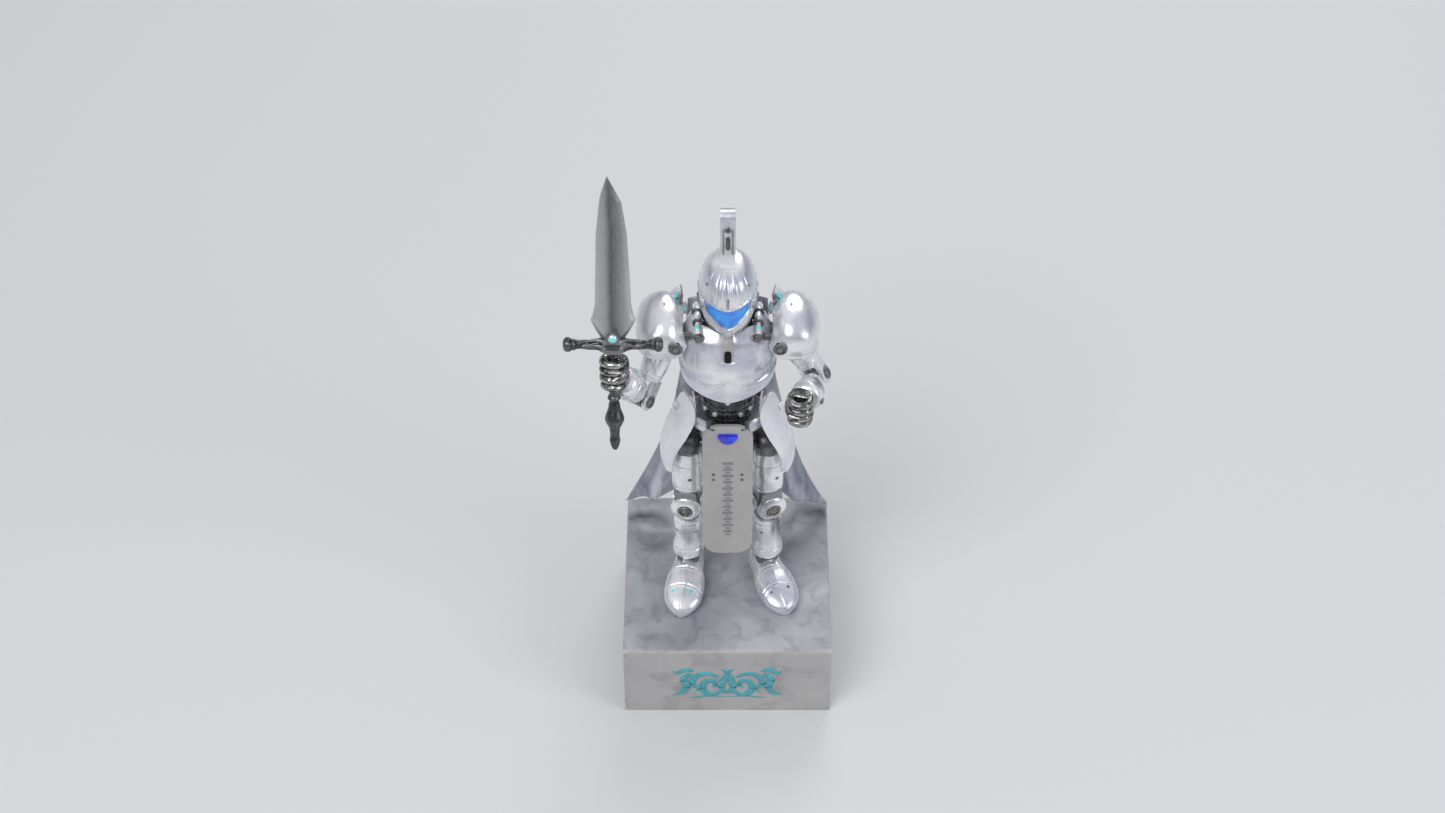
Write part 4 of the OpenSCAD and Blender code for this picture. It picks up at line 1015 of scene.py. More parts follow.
    profile = [(-4.7, 9.2), (-4.1, 11.0), (-1.0, 13.8), (1.2, 19), (3.2, 25.4), (4.1, 26.8), (5.4, 27.35),
               (7.6, 26.95), (8.7, 25.8), (8.8, 24.2), (7.6, 18.4), (6.4, 14.6), (5.4, 11.6), (5.2, 9.6)]
    m = Matrix.Translation((2.5, 0, TEMPLE)) @ Matrix.Rotation(math.radians(90), 4, "Z")
    part = Part("crest_bar")
    part.slab(profile, -5, m, SILVER)
    for x in (-2.56, 2.56):
        out = 1 if x > 0 else -1
        side_place = Matrix.Translation((x, 0, TEMPLE)) @ Matrix.Rotation(math.radians(90), 4, "Z")
        for k in range(3):
            part.slab([(1.3 + 1.5 * k, 14.2), (2.0 + 1.5 * k, 14.2), (4.4 + 1.2 * k, 22.6),
                       (3.8 + 1.2 * k, 22.6)],
                      -0.14 * out, side_place, DARK)
        bolt(part, (x, 6.1, TEMPLE + 24.6), (out, 0, 0), 0.9, CHROME, height=0.3)
    slope = Vector((0, 4.2, 11.6)).normalized()
    front = placed((0, -1.12, TEMPLE + 13.7), (1, 0, 0), slope)
    # Two dark strips down the crest front: painted shade in its grooves.
    for x in (-1.55, 1.55):
        part.slab(strip(0.22, 0.4, 9.2, x), 0.22, front, DARK)
    # Black oval on the crest front: painted shade in a recess.
    part.slab(rounded(0.75, 2.0, 6.6, 0.7), 0.28, front, BLACK_AND_PAINTED_RECESS_SHADE)
    part.lathe([(1.05, -0.3), (1.05, 0.2), (0.8, 0.4), (0.3, 0.42)], front @ Vector((0, 0, 9)),
               slope.cross(Vector((-1, 0, 0))), DARK, 24)
    part.build("visor", "armour_silver", "crest", bevel=0.22)


# ---- Shoulders ----
def make_pauldron(word):
    """Egg-shaped shoulder shell, flat towards the head, and the fin that stands on it."""
    side = SIDES[word]
    egg = Form([(-13, 21.3, 0, 7.4, 11.6, 3.2), (-8, 21.4, 0, 8.4, 12.6, 3.4), (-4, 21.7, 0, 9.1, 12.9, 3.2),
                (-1, 22.2, 0, 9, 12.8, 2.8), (3, 22.3, 0, 7.9, 11.8, 2.3), (5.6, 21.9, 0, 6.3, 9.6, 2.05),
                (7.2, 21.6, 0, 4.3, 6.8, 2), (7.9, 21.4, 0, 2.2, 3.8, 2), (8.1, 21.4, 0, 0.4, 0.8, 2)],
               Matrix.Translation((0, -0.5, SHOULDER + 3.6)))

    hinge = joint_at(f"pauldron_{word}_lift")

    def shell(u, v):
        a = 2 * math.pi * u
        corner = bell(math.remainder(a - math.radians(-124), 2 * math.pi), 0.4) ** 1.5
        low = -5 + 0.5 * math.sin(a) + (hinge.z - SHOULDER - 3.6 - 3.3 + 5.5) * corner
        low += 8 * bell(math.remainder(a - math.pi, 2 * math.pi), 0.55)
        z = low + (8.1 - low) * (1 - (1 - v) ** 1.7)
        p = egg.at(a, z, 0.25 * bell(v - 0.02, 0.025))
        p.x = max(p.x, 13.3 + 1.8 * min(1, max(0, (p.y + 11) / 4)))
        return Vector((side * p.x, p.y, p.z))

    part = Part(f"pauldron_{word}_shell")
    part.grid(shell, 128, 72, SILVER, 1.1 * side)
    part.build(f"pauldron_{word}", "armour_silver", f"pauldron_{word}", bevel=0.12)

    part = Part(f"shoulder_fin_{word}_blades")
    root = Vector((side * 17.4, 5.6, SHOULDER + 8.2))
    for k, (height, reach, turn) in enumerate(((8.4, 4.6, 0), (5.4, 3.6, 28), (3.6, 2.6, -26))):
        m = (Matrix.Translation(root + Vector((-side * 1.2 * k, -1.6 * k, -0.6 * k)))
             @ Matrix.Rotation(math.radians(side * (24 + turn)), 4, "Z")
             @ Matrix.Rotation(math.radians(-side * 12), 4, "Y"))
        part.slab([(-reach * 0.5, -1.6), (reach * 0.5, -1.4), (reach * 0.42, height * 0.42), (0.2, height),
                   (-reach * 0.5, height * 0.4)], 1.0, m, (SILVER, DARK, SILVER)[k])
        # Teal strip with a painted glow, standing in for a teal glint on the fin.
        part.slab([(-reach * 0.22, 0.3), (reach * 0.2, 0.2), (0.15, height * 0.62)], 0.3,
                  m @ Matrix.Translation((0, -0.85, 0.2)), TEAL_GLINT)
    part.build(f"pauldron_{word}", "armour_silver", f"shoulder_fin_{word}", bevel=0.1)


def make_pauldron_bolts():
    """Hinge bolts of the pauldrons, each with a lug that joins it to the shoulder."""
    hinge = joint_at("pauldron_left_lift")
    part = Part("pauldron_hinge_bolts")
    for side in (-1, 1):
        place = Vector((side * hinge.x, -13.1, hinge.z))
        part.lathe([(1.3, -7.2), (1.4, 0), (2.45, 0.1), (2.45, 0.6), (2.1, 0.9), (1.5, 0.95), (1.2, 0.9)],
                   place, AHEAD, DARK, 40)
        # Black hexagon in the socket: painted shade.
        part.lathe([(1.1, 0.7), (1.1, 1.0)], place, AHEAD, BLACK_AND_PAINTED_RECESS_SHADE, 6)
        part.lathe([(0.6, -5.4), (1.4, -5), (1.5, -2.5), (1.5, 0), (1.2, 0.8), (0.5, 1)],
                   place + Vector((0, 6.2, 0)), (side, 0, 0), BLACK_AND_PAINTED_RECESS_SHADE, 32)
    part.build("torso", "joint_dark", "pauldron_bolts", bevel=0.08)


# ---- Arms ----
def make_arm(word):
    """Upper arm, elbow pin, forearm and fist."""
    side = SIDES[word]
    shoulder, elbow = joint_at(f"shoulder_{word}_swing"), joint_at(f"elbow_{word}_bend")
    hand = joint_at(f"wrist_{word}_turn")
    bend = Vector(joints[f"elbow_{word}_bend"]["axis"])
    raise_axis = Vector(joints[f"arm_{word}_raise"]["axis"])
    upper = (elbow - shoulder).length
    reach = (hand - elbow).length

    part = Part(f"upper_arm_{word}_shell")
    m = placed(shoulder, raise_axis, shoulder - elbow)
    form = column([(6.8 - upper, 3.8, 3.5, 2.2), (8.4 - upper, 4.2, 4, 2.2), (-13, 4.9, 4.7, 2.2),
                   (-8, 4.7, 4.5, 2.2), (-5.8, 4, 3.8, 2.2)], m)

    def bands(a, z):
        return groove(z, 9.6 - upper, 0.3) + groove(z, -9.5, 0.25) - 0.2 * bell(math.sin(a), 0.09)

    part.tube(form, 6.8 - upper, -5.8, CHROME, bands, 96, 90)
    for s in (-1, 1):
        part.lathe(mirrored([(3.2, -0.95), (3.5, -0.6)]), m @ Vector((s * 3.45, 0, 0)), raise_axis, DARK)
        part.slab(strip(0.9, -7, 0), 6, m @ Matrix.Translation((s * 3.45, 3, 0)), DARK)
    e = placed(elbow, bend, shoulder - elbow)
    for s in (-1, 1):
        part.lathe(mirrored([(2.9, -0.8), (3.3, -0.5)]), e @ Vector((s * 2.95, 0, 0)), bend, SILVER)
        part.slab(strip(0.8, 0, 7.6), 5.6, e @ Matrix.Translation((s * 2.95, 2.8, 0)), SILVER)
    part.build(f"upper_arm_{word}", "armour_silver", f"upper_arm_{word}", bevel=0.14)

    part = Part(f"elbow_pin_{word}_heads")
    part.lathe([(1.1, -3.8), (1.1, 3.8)], elbow, bend, DARK)
    for s in (-1, 1):
        bolt(part, elbow + s * 4.05 * bend, s * bend, 2.1, DARK, height=0.5)
    part.build(f"upper_arm_{word}", "joint_dark", f"elbow_pin_{word}", bevel=0.05)

    f = placed(elbow, bend, hand - elbow)
    part = Part(f"forearm_{word}_shell")
    form = column([(4.9, 3.3, 3.1, 2.2), (6.4, 3.9, 3.7, 2.2), (9.4, 5, 4.7, 2.2),
                   (reach - 9.6, 5.4, 5.1, 2.2), (reach - 7.8, 4.6, 4.4, 2.2), (reach - 6.9, 3.2, 3.1, 2.2)],
                  f)

    def sleeve(a, z):
        ridge = 0.35 * bell(math.sin((a - FRONT) / 2), 0.12)
        return groove(z, reach - 11.6, 0.3) + groove(z, 8.2, 0.25) + ridge - 0.25 * bell(math.cos(a), 0.08)

    part.tube(form, 4.9, reach - 6.9, CHROME, sleeve, 96, 96)
    part.lathe(mirrored([(2.5, -1.8), (2.9, -1.5)]), elbow, bend, DARK)
    part.slab(strip(1.8, 0, 6), 4.6, f @ Matrix.Translation((0, 2.3, 0)), DARK)
    part.lathe([(1.5, reach - 7.4), (1.5, reach - 3.8)], elbow, hand - elbow, DARK)
    guard = Form([(z, x, y, rx + 0.5, ry + 0.5, p) for z, x, y, rx, ry, p in form.rings], f)
    outer = FRONT if side < 0 else -FRONT

    def vambrace(u, v):
        a = spread(u, 1.15, outer)
        z = 8.2 + v * (reach - 19)
        return guard.at(a, z, 0.1 + 0.25 * bell(u - 0.5, 0.1))

    part.grid(vambrace, 40, 40, WHITE, 0.7)
    top = guard.at(outer, reach - 13, 0.2)
    part.lathe([(1.1, -0.4), (1.1, 0.25), (0.8, 0.55), (0.3, 0.66)], top,
               top - f @ Vector((0, 0, reach - 13)), TEAL_GLINT, 24)
    low = guard.at(outer + 0.9, reach - 9.4, -0.3)
    bolt(part, low, low - f @ Vector((0, 0, reach - 9.4)), 1.0, DARK)
    part.build(f"forearm_{word}", "armour_silver", f"forearm_{word}", bevel=0.12)
    make_fist(word, hand, hand - elbow)


def make_fist(word, hand, forearm):
    """Clenched fist: four curled fingers and a thumb round the grip hole, fused into one skin."""
    grip = Vector(joints["sword_twist"]["axis"]) if word == "right" else UP
    palm = forearm.cross(grip).normalized()
    m = placed(hand, -palm.cross(grip), grip)
    curl = 1 if word == "right" else -1
    chrome = MATERIALS["fist_chrome"]
    part = Part(f"fist_{word}_fingers")
    for k in range(4):
        h = 4.3 - 2.85 * k
        path = []
        for i in range(15):
            t = math.radians(-118 + 17.5 * i) * curl
            r = 3.35 - 0.25 * (k == 3)
            path.append(m @ Vector((r * math.cos(t), r * math.sin(t), h - 0.25 * math.sin(t * 0.5))))
        part.sweep(path, lambda t, k=k: (1.52 - 0.1 * (k == 3)) * (1 - 0.16 * t) + 0.16 * bell(t - 0.3, 0.05)
                   + 0.14 * bell(t - 0.66, 0.05), chrome, 18, side=grip)
        knuckle = path[3]
        part.lathe([(0.3, -1.4), (1.3, -0.8), (1.55, 0), (1.2, 0.8), (0.3, 1.2)], knuckle,
                   knuckle - m @ Vector((0, 0, h)), chrome, 18)
    thumb = []
    for i in range(10):
        t = math.radians(150 - 14 * i) * curl
        thumb.append(m @ Vector((3.9 * math.cos(t), 3.9 * math.sin(t), 3.4 - 0.55 * i)))
    part.sweep(thumb, lambda t: 1.55 - 0.3 * t, chrome, 18, side=grip)
    back = Form([(-5.4, -2.4, 0, 2.2, 3.6, 2.6), (-3, -2.6, 0, 2.6, 4.1, 2.6), (3, -2.6, 0, 2.6, 4.2, 2.6),
                 (5.4, -2.4, 0, 2.1, 3.6, 2.6)], m)
    part.tube(back, -5.4, 5.4, chrome, None, 40, 20)
    part.build(f"hand_{word}", "fist_chrome", f"fist_{word}", remesh=0.22, smooth=5)


# ---- Sword ----
def make_sword():
    """Two-edged blade with a fuller, a guard with leaves and a jewel, and a wrapped grip ending in a knob."""
    grip = Vector(joints["sword_twist"]["axis"])
    hand = joint_at("sword_twist")
    m = placed(hand, (1, 0, 0), grip) @ Matrix.Translation((0, 0, 10.4))
    steel, hilt = MATERIALS["blade_steel"], MATERIALS["hilt_dark"]
    left = [(1.8, -3.4), (5, -5.4), (9, -7.3), (11, -6.5), (14.6, -5.7), (26, -5.3), (39.6, -4.9),
            (52.5, -3.4), (60, -1.0)]
    right = [(1.8, 3.4), (5, 5.6), (9, 7.6), (11, 6.9), (14.6, 6.2), (26, 5.8), (39.6, 5.2), (51, 3.6),
             (60, -0.9)]

    def straight(keys, t):
        """Linear interpolation of (t, value) keys."""
        k = next((i for i in range(len(keys) - 1) if keys[i + 1][0] >= t), len(keys) - 2)
        (a, x), (b, y) = keys[k], keys[k + 1]
        return x + (y - x) * (t - a) / (b - a)

    nu, nv = 24, 120
    verts, faces = [], []
    for j in range(nv + 1):
        z = 1.8 + 58.2 * j / nv
        x0, x1 = straight(left, z), straight(right, z)
        thick = 1.35 * (1 - 0.45 * j / nv)
        for face in (-1, 1):
            for i in range(nu + 1):
                x = x0 + (x1 - x0) * i / nu
                edge = min(1.0, min(x - x0, x1 - x) / 1.7)
                fuller = 0.62 * bell(x - 0.1, 1.35) * (1 if z < 44 else max(0.0, 1 - (z - 44) / 5))
                y = face * (0.08 + (thick - 0.08) * edge - fuller)
                verts.append(m @ Vector((x, y, z)))
    w = nu + 1
    for j in range(nv):
        for i in range(nu):
            a = j * 2 * w + i
            faces.append((a, a + 1, a + 2 * w + 1, a + 2 * w))
            b = a + w
            faces.append((b + 1, b, b + 2 * w, b + 2 * w + 1))
        a, b = j * 2 * w, j * 2 * w + w
        faces.append((a, a + 2 * w, b + 2 * w, b))
        faces.append((b + nu, b + nu + 2 * w, a + nu + 2 * w, a + nu))
    for i in range(nu):
        faces.append((i + 1, i, w + i, w + i + 1))
        top = nv * 2 * w
        faces.append((top + i, top + i + 1, top + w + i + 1, top + w + i))
    part = Part("sword_blade_fullered")
    part.add(verts, faces, steel)
    part.build("sword", "blade_steel", "sword_blade")

    part = Part("sword_guard_ornate")
    low, high = node_box("sword_guard")
    half = (high.x - low.x) / 2
    rings = [(half, 1.2, 1.2, 2), (half - 0.6, 2.1, 2.2, 2), (half - 2, 2.4, 2.5, 2), (half - 3, 1.7, 1.9, 2),
             (half - 3.6, 1.95, 2.0, 2), (half - 4.4, 1.5, 1.6, 2), (9, 1.45, 1.55, 2), (5, 1.8, 2.0, 2.2),
             (3, 2.6, 2.7, 2.4)]
    arm = column([(-z, *size) for z, *size in rings] + rings[::-1],
                 m @ placed((0, 0, 0), (0, 1, 0), (1, 0, 0)))
    part.tube(arm, -half, half, hilt, lambda a, z: 0.16 * math.cos(a * 5 + z * 1.1) * bell(abs(z) - 8.5, 3.6),
              64, 150)
    for s in (-1, 1):
        for height, out in ((1.6, 1.6), (-0.6, 1.9)):
            leaf = [m @ Vector((s * (2.4 + 7.2 * t), -2.1 + 0.9 * t,
                                height + out * math.sin(t * 2.6) * (1 - t)))
                    for t in [i / 12 for i in range(13)]]
            part.sweep(leaf, lambda t: 0.7 * (1 - t) + 0.15, hilt, 12)
    part.slab([(-3, -2.6), (3, -2.6), (4, 0), (2.6, 2.8), (1.2, 4.9), (0, 5.8), (-1.2, 4.9), (-2.6, 2.8),
               (-4, 0)],
              5.2, m @ Matrix.Translation((0, 2.6, 0)), hilt)
    jewel, ahead = m @ Vector((0, -2.6, 3.2)), m.to_3x3() @ AHEAD
    part.lathe([(1.5, -0.3), (1.5, 0.2), (1.1, 0.6), (0.4, 0.8)], jewel, ahead, SILVER, 24)
    part.lathe([(0.9, 0.5), (0.8, 0.95), (0.3, 1.2)], jewel, ahead, TEAL_GLINT, 24)
    part.build("sword", "hilt_dark", "sword_guard", bevel=0.12)

    part = Part("sword_grip_wrapped")
    wrap = [(1.5 + 0.16 * abs(math.sin(0.9 * math.pi * k / 4)), -1.6 - 17.4 * k / 72) for k in range(73)]
    part.lathe([(1.5, -1.0)] + wrap, m.translation, grip, hilt, 32)
    knob = [(-39.6, 0.05), (-39.2, 0.7), (-38, 1.3), (-36, 1.8), (-34, 1.6), (-31, 1.9), (-29.6, 2.6),
            (-28, 3.25), (-26.6, 3.1), (-24, 2.2), (-22.2, 1.9), (-20.5, 1.6), (-20.0, 2.2), (-19.2, 2.1),
            (-18.6, 1.7)]
    heights = [knob[0][0] + (knob[-1][0] - knob[0][0]) * k / 90 for k in range(91)]
    part.lathe([(smooth_keys(knob, h)[0], h) for h in heights], m.translation, grip, hilt, 48)
    part.build("sword", "hilt_dark", "sword_grip", bevel=0.05)


# ---- Legs ----
def leg_place(word, height):
    """The frame on a leg's centre line at height, and the outward axis of its joints."""
    hip = joint_at(f"leg_{word}_raise")
    axis = -Vector(joints[f"leg_{word}_raise"]["axis"])
    return placed((hip.x, hip.y, height), axis, UP), axis


def make_leg(word):
    """Thigh, knee cap and pin, shin and foot."""
    link = HIP - joint_at(f"knee_{word}_bend").z
    m, axis = leg_place(word, HIP)
    part = Part(f"thigh_{word}_shell")
    form = column([(-22.6, 5, 4.7, 2.3), (-21.4, 5.5, 5.3, 2.3), (-16, 5.6, 5.6, 2.2), (-12, 5.7, 5.7, 2.2),
                   (-6, 5.2, 5.4, 2.2), (-3.4, 4.3, 4.7, 2.2)], m)

    def plates(a, z):
        rear_seam = 0.25 * bell(math.sin(a - FRONT), 0.05) * (math.cos(a - FRONT) < 0)
        return groove(z, -19.6, 0.3) + groove(z, -8.6, 0.3) - rear_seam

    part.tube(form, -22.6, -3.4, CHROME, plates, 112, 96)
    part.lathe([(3.4, -4.6), (4.4, -4.2), (5.3, -2.4), (5.45, 0), (5.3, 2.4), (4.4, 4.2), (3.4, 4.6)],
               m.translation, axis, DARK, 48)
    for s in (-1, 1):
        knee = m @ Vector((s * 3.55, 0, -link))
        part.lathe(mirrored([(3.6, -1), (4, -0.7)]), knee, axis, DARK)
        part.slab(strip(1, -link, -20), 6.6, m @ Matrix.Translation((s * 3.55, 3.3, 0)), DARK)
    spot = form.at(FRONT + 0.25, -14.4, -0.1)
    part.lathe([(0.75, -0.3), (0.75, 0.2), (0.4, 0.35)], spot, spot - m @ Vector((0, 0, -14.4)), DARK, 20)
    part.build(f"thigh_{word}", "armour_silver", f"thigh_{word}", bevel=0.14)

    k, axis = leg_place(word, HIP - link)
    part = Part(f"knee_cap_{word}_round")
    ahead = k.to_3x3() @ AHEAD
    part.lathe([(5.0, 4.3), (5.45, 4.6), (5.45, 5.3), (5.2, 5.8), (4.8, 6.1), (4.2, 6.5), (3.5, 6.85),
                (2.9, 7.0), (2.7, 6.8), (2.6, 6.5)], k.translation, ahead, CHROME, 64)
    part.lathe([(2.5, 6.2), (2.5, 7.1), (2.2, 7.4), (1.8, 7.4), (1.6, 7.1), (1.6, 6.8)], k.translation, ahead,
               BRONZE, 40)
    part.lathe([(1.4, 6.4), (1.4, 7.0), (1.0, 7.25), (0.3, 7.3)], k.translation, ahead, BRONZE, 24)
    part.slab([(-4.2, 2), (4.2, 2), (3.6, 8), (-3.6, 8)], 2, k @ Matrix.Translation((0, -3.4, 0)), DARK)
    part.build(f"thigh_{word}", "armour_silver", f"knee_cap_{word}", bevel=0.14)

    part = Part(f"knee_pin_{word}_heads")
    part.lathe([(1.3, -4.6), (1.3, 4.6)], k.translation, axis, DARK)
    for s in (-1, 1):
        bolt(part, k.translation + s * 4.9 * axis, s * axis, 2.8, SILVER, height=0.5)
    part.build(f"thigh_{word}", "joint_dark", f"knee_pin_{word}", bevel=0.06)

    part = Part(f"shin_{word}_greave")
    form = column([(3.8 - link, 5.7, 5.9, 2.3), (4.6 - link, 5.8, 6, 2.3), (6.6 - link, 5.6, 5.8, 2.3),
                   (-18, 4.9, 5.2, 2.3), (-11, 5.2, 5.2, 2.3), (-8, 4.9, 4.8, 2.3), (-7.2, 4.5, 4.4, 2.3)], k)

    def greave(a, z):
        shin = 0.45 * bell(math.sin((a - FRONT) / 2), 0.1)
        return shin + groove(z, 7.4 - link, 0.32) + groove(z, -9.4, 0.3) - 0.2 * bell(math.cos(a), 0.06)

    part.tube(form, 3.8 - link, -7.2, CHROME, greave, 112, 110)
    part.lathe(mirrored([(3.3, -2.3), (3.7, -1.9)]), k.translation, axis, DARK)
    part.slab(strip(2.3, -8, 0), 5.8, k @ Matrix.Translation((0, 2.9, 0)), DARK)
    for s in (-1, 1):
        part.lathe(mirrored([(2.6, -0.8), (3, -0.5)]), k @ Vector((s * 3, 0, -link)), axis, DARK)
        part.slab(strip(0.8, -link, 4.4 - link), 4.2, k @ Matrix.Translation((s * 3, 2.1, 0)), DARK)
        spot = form.at(FRONT + s * 0.7, -13, -0.1)
        part.lathe([(0.6, -0.3), (0.6, 0.15), (0.3, 0.3)], spot, spot - k @ Vector((0, 0, -13)), DARK, 20)
    part.lathe([(1.2, -3.8), (1.2, 3.8)], k @ Vector((0, 0, -link)), axis, DARK)
    part.build(f"shin_{word}", "armour_silver", f"shin_{word}", bevel=0.14)
    make_foot(word)


def make_foot(word):
    """Armoured shoe in three overlapping plates, with a few spots on the instep: teal ones with a painted glow on
    the right foot, dark marks on the left.
    """
    sole = node_box("base_block")[1].z
    m, axis = leg_place(word, sole)
    lift = joint_at(f"ankle_{word}_tilt").z - sole
    along = m @ placed((0, 0, 0), (1, 0, 0), (0, -1, 0))
    form = Form([(-8, 0, 2.8, 3, 2.8, 2.4), (-7, 0, 3.8, 4.6, 3.8, 2.6), (-3, 0, 4.5, 5.4, 4.5, 2.6),
                 (2, 0, 4.4, 5.8, 4.4, 2.5), (7, 0, 4.2, 7, 4.2, 2.4), (12, 0, 3.9, 7.3, 3.9, 2.3),
                 (16.5, 0, 3.3, 6.7, 3.3, 2.2), (19.4, 0, 2.7, 5.2, 2.7, 2.1), (21.3, 0, 2.1, 3.3, 2.1, 2),
                 (22.1, 0, 1.8, 1.5, 1.5, 2)], along)

    def plates(a, z):
        up = max(0.0, math.sin(a))
        across = math.cos(a)
        past = [z - c - 2.2 * across**2 for c in (4.4, 12.2)]
        steps = sum(-0.32 * bell(d, 0.24) + 0.2 * bell(d - 0.8, 0.6) for d in past)
        return up * steps + 0.3 * bell(across, 0.08) * (up > 0.5)

    part = Part(f"foot_{word}_sabaton")
    part.tube(form, -8, 22.1, SILVER, plates, 110, 170)
    part.lathe(mirrored([(2.5, -2), (2.8, -1.7)]), m @ Vector((0, 0, lift)), axis, DARK)
    part.slab(strip(2, 4, lift), 4.4, m @ Matrix.Translation((0, 2.2, 0)), DARK)
    # Teal spots with a painted glow on the right foot; dark marks on the left.
    glint = TEAL_GLINT if word == "right" else DARK
    for turn, z, size in ((-0.55, 14.6, 0.7), (0.35, 13.9, 0.5), (0.62, 15.2, 0.6), (0.05, 12.9, 0.45)):
        spot = form.at(-FRONT + turn * 0.8, z, -0.05)
        part.lathe([(size, -0.3), (size, 0.1), (size * 0.5, 0.22)], spot, spot - along @ Vector((0, 1, z)),
                   glint, 12)
    part.build(f"foot_{word}", "armour_silver", f"foot_{word}", bevel=0.12)


# ---- Cape ----
def run(points):
    """Length of a line through points."""
    return sum((b - a).length for a, b in zip(points, points[1:]))


def make_cape():
    """Stiff moulded cape in folds, with the two studs that hold it to the back."""
    top = SHOULDER + 4
    bottom = node_box("base_block")[1].z + 14

    def cloth(s, u):
        """The point at s from -1 to 1 across and u from 0 (top) to 1 (hem)."""
        half = 13.6 + 10 * u**1.2 + 14.6 * u**3
        fold = 2.1 * math.sin(math.radians(720 * s + 90)) + 0.9 * math.sin(1.7 + 15.5 * s) * (0.4 + u)
        y = 13.3 + 16.6 * u**1.4 - 1.4 * s * s * (1 - u) + fold * u**1.3
        y += 0.35 * math.sin(31 * s + 2.2 * u) * u
        z = top - u * (top - bottom) - 6 * s * s * u * u - 1.6 * s * s * (1 - u)
        z -= (5 * max(0.0, s) ** 2 + 1.8 * min(0.0, s) ** 2) * u**2
        wander = 1.1 * noise.noise(Vector((s * 2.2, u * 3.1, 0.7))) * u
        return Vector((s * half + 0.5 * math.sin(9 * u + 3 * s) * u, y + wander, z))

    part = Part("cape_cloth_sheet")
    part.grid(lambda u, v: cloth(2 * u - 1, 1 - v), 150, 150, MATERIALS["cape_cloth"], 0.55)
    piece = part.build("torso", "cape_cloth", "cape")
    cells = 40
    points = [[cloth(2 * i / cells - 1, j / cells) for j in range(cells + 1)] for i in range(cells + 1)]
    length = run([cloth(0.9, k / 40) for k in range(41)])
    width = run([cloth(2 * k / 80 - 1, 1) for k in range(81)])

    low, high = node_box("cape_studs")
    part = Part("cape_stud_heads")
    for s in (-1, 1):
        x = s * (high.x - 1.7)
        z = (low.z + high.z) / 2
        part.lathe([(1, 8.6), (1, 13.6), (1.7, 13.7), (1.7, 14.2), (1.3, 14.6), (0.3, 14.65)], (x, 0, z),
                   (0, 1, 0), DARK, 32)
    part.build("torso", "joint_dark", "cape_studs", bevel=0.05)


# ---- Base ----
def make_base():
    """Weathered stone block, open underneath, with its front ornament."""
    low, high = node_box("base_block")
    stone = MATERIALS["base_stone"]
    width, height = high.x - low.x, high.z
    part = Part("base_block_stone")
    n, rows = int(width), int(height)  # cells of about 1 mm

    def weathered(p):
        """Chips along the upper edges and slight hollows, always inwards."""
        edges = sorted((abs(abs(p.x) - width / 2), abs(abs(p.y) - width / 2), abs(p.z - height), abs(p.z)))
        rough = noise.fractal(p * 0.22, 0.8, 2.1, 5)
        above = min(1.0, p.z / 4)
        chip = max(0.0, noise.noise(p * 0.35 + Vector((3, 1, 5))) - 0.16) * 2.0 * bell(edges[1], 1.0)
        inward = (0.12 * max(0.0, rough) + 0.2 * bell(edges[0] + edges[1], 0.8) + chip) * above
        centre = Vector((p.x * 0.94, p.y * 0.94, height * 0.5 + (p.z - height * 0.5) * 0.9))
        q = p + (centre - p).normalized() * min(inward, 1.2)
        q.z = 0.0 if p.z < 0.01 else q.z
        return q

    def side_grid(f, a, b, paint):
        verts = [weathered(f(i / a, j / b)) for j in range(b + 1) for i in range(a + 1)]
        faces = [(j * (a + 1) + i, j * (a + 1) + i + 1, (j + 1) * (a + 1) + i + 1, (j + 1) * (a + 1) + i)
                 for j in range(b) for i in range(a)]
        part.add(verts, faces, paint)

    half = width / 2
    side_grid(lambda u, v: Vector((-half + width * u, -half + width * v, height)), n, n, stone)
    # The four sides use the lighter copy of the stone paint: painted light.
    for turn in range(4):
        r = Matrix.Rotation(math.radians(90 * turn), 3, "Z")
        side_grid(lambda u, v, r=r: r @ Vector((-half + width * u, -half, height * v)), n, rows, BASE_SIDES_PAINTED_LIGHT)
    wall, roof = 2.4, 30
    inner = half - wall
    verts, faces = [], []
    for size, z in ((half, 0), (inner, 0), (inner, roof)):
        verts += [Vector((-size, -size, z)), Vector((size, -size, z)), Vector((size, size, z)),
                  Vector((-size, size, z))]
    for ring in (0, 4):
        faces += [(ring + i, ring + (i + 1) % 4, ring + 4 + (i + 1) % 4, ring + 4 + i) for i in range(4)]
    faces.append((8, 9, 10, 11))
    part.add(verts, faces, stone)
    piece = part.build("base", "base_stone", "base_block")
    weld = piece.modifiers.new("weld", "WELD")
    weld.merge_threshold = 0.00002
    make_emblem()


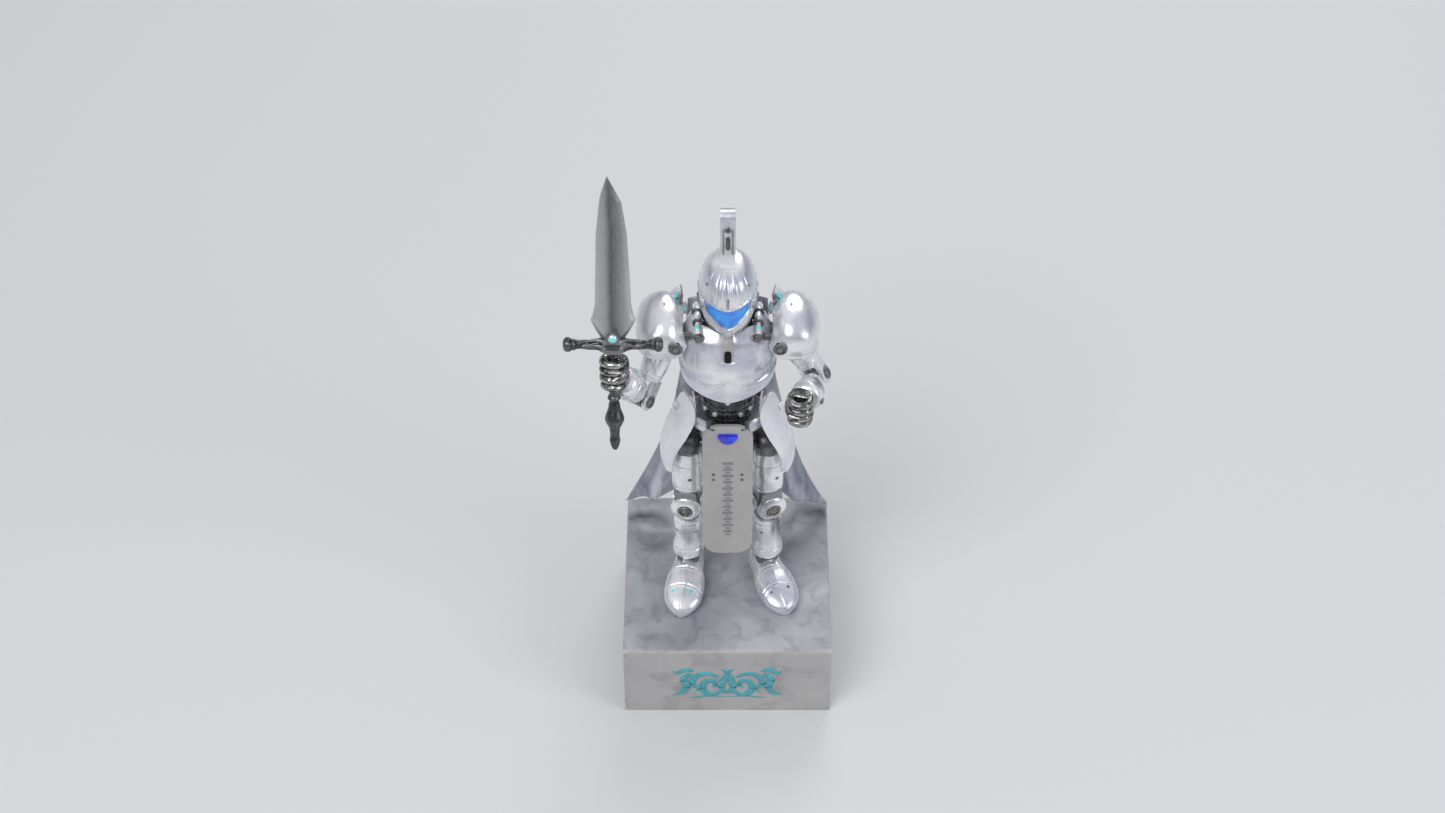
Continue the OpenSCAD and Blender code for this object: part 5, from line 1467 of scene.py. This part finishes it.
def make_emblem():
    """Generic mirrored scroll ornament in raised, worn teal paint."""
    low, high = node_box("base_emblem")
    teal = MATERIALS["emblem_teal"]
    face_y = node_box("base_block")[0].y + 0.25
    mid = (low.z + high.z) / 2
    part = Part("base_emblem_scrolls")

    def stroke(points, width):
        """A tapering scroll through points (x, z) from the emblem's centre, and its mirror image."""
        keys = [(i / (len(points) - 1), x * 0.995, z * 1.05) for i, (x, z) in enumerate(points)]
        full = 1.6 * width
        steps = 12 * (len(points) - 1)
        for s in (-1, 1):
            line = []
            for k in range(steps + 1):
                x, z = smooth_keys(keys, k / steps)
                line.append(Vector((s * x, face_y, mid + z)))
            part.sweep(line, lambda t: full * (0.25 + 0.75 * math.sin(math.pi * min(1, 0.15 + t * 0.85))),
                       teal, 10, 0.55)

    stroke([(0.4, -5.5), (2.2, -2), (1.2, 2), (0.2, 5.8), (2.6, 7.6)], 1.0)
    stroke([(2, -4.5), (5.5, -6.4), (8.8, -4), (8.4, 0.4), (5.2, 1.2), (4.6, -1.6), (6.6, -2.2)], 0.95)
    stroke([(3.4, 3.4), (7.4, 5.2), (11.6, 3.6), (12.8, -0.6), (10.6, -3), (12.6, -5.8)], 0.9)
    stroke([(13.6, 5.4), (16, 2.2), (15.2, -2), (17.2, -5.2), (20.3, -6.8)], 1.05)
    stroke([(12.4, 6.6), (15.4, 7.2), (18.6, 5.6), (20.3, 7.4)], 0.8)
    stroke([(0, -7.6), (7, -7.2), (13, -8), (19.6, -7.8)], 0.42)
    part.build("base", "emblem_teal", "base_emblem")


# ---- CAD nodes that keep their own shape and only take a material ----
def paint_nodes():
    slots = {s["node"]: s["material_slot"] for s in frame["record"]["subparts"]}
    for node, obj in frame["nodes"].items():
        obj.data.materials.clear()
        inner = node in ("torso_core", "neck_link") or node.startswith("shoulder_hub")
        obj.data.materials.append(DARK if inner else MATERIALS[slots[node]])


make_camera()
make_studio()
make_floor()
paint_nodes()
make_chest()
make_waist()
make_tasset_pins()
make_belt()
make_tabard()
make_head()
make_pauldron_bolts()
make_sword()
make_cape()
make_base()
for word in SIDES:
    make_tasset(word)
    make_pauldron(word)
    make_arm(word)
    make_leg(word)
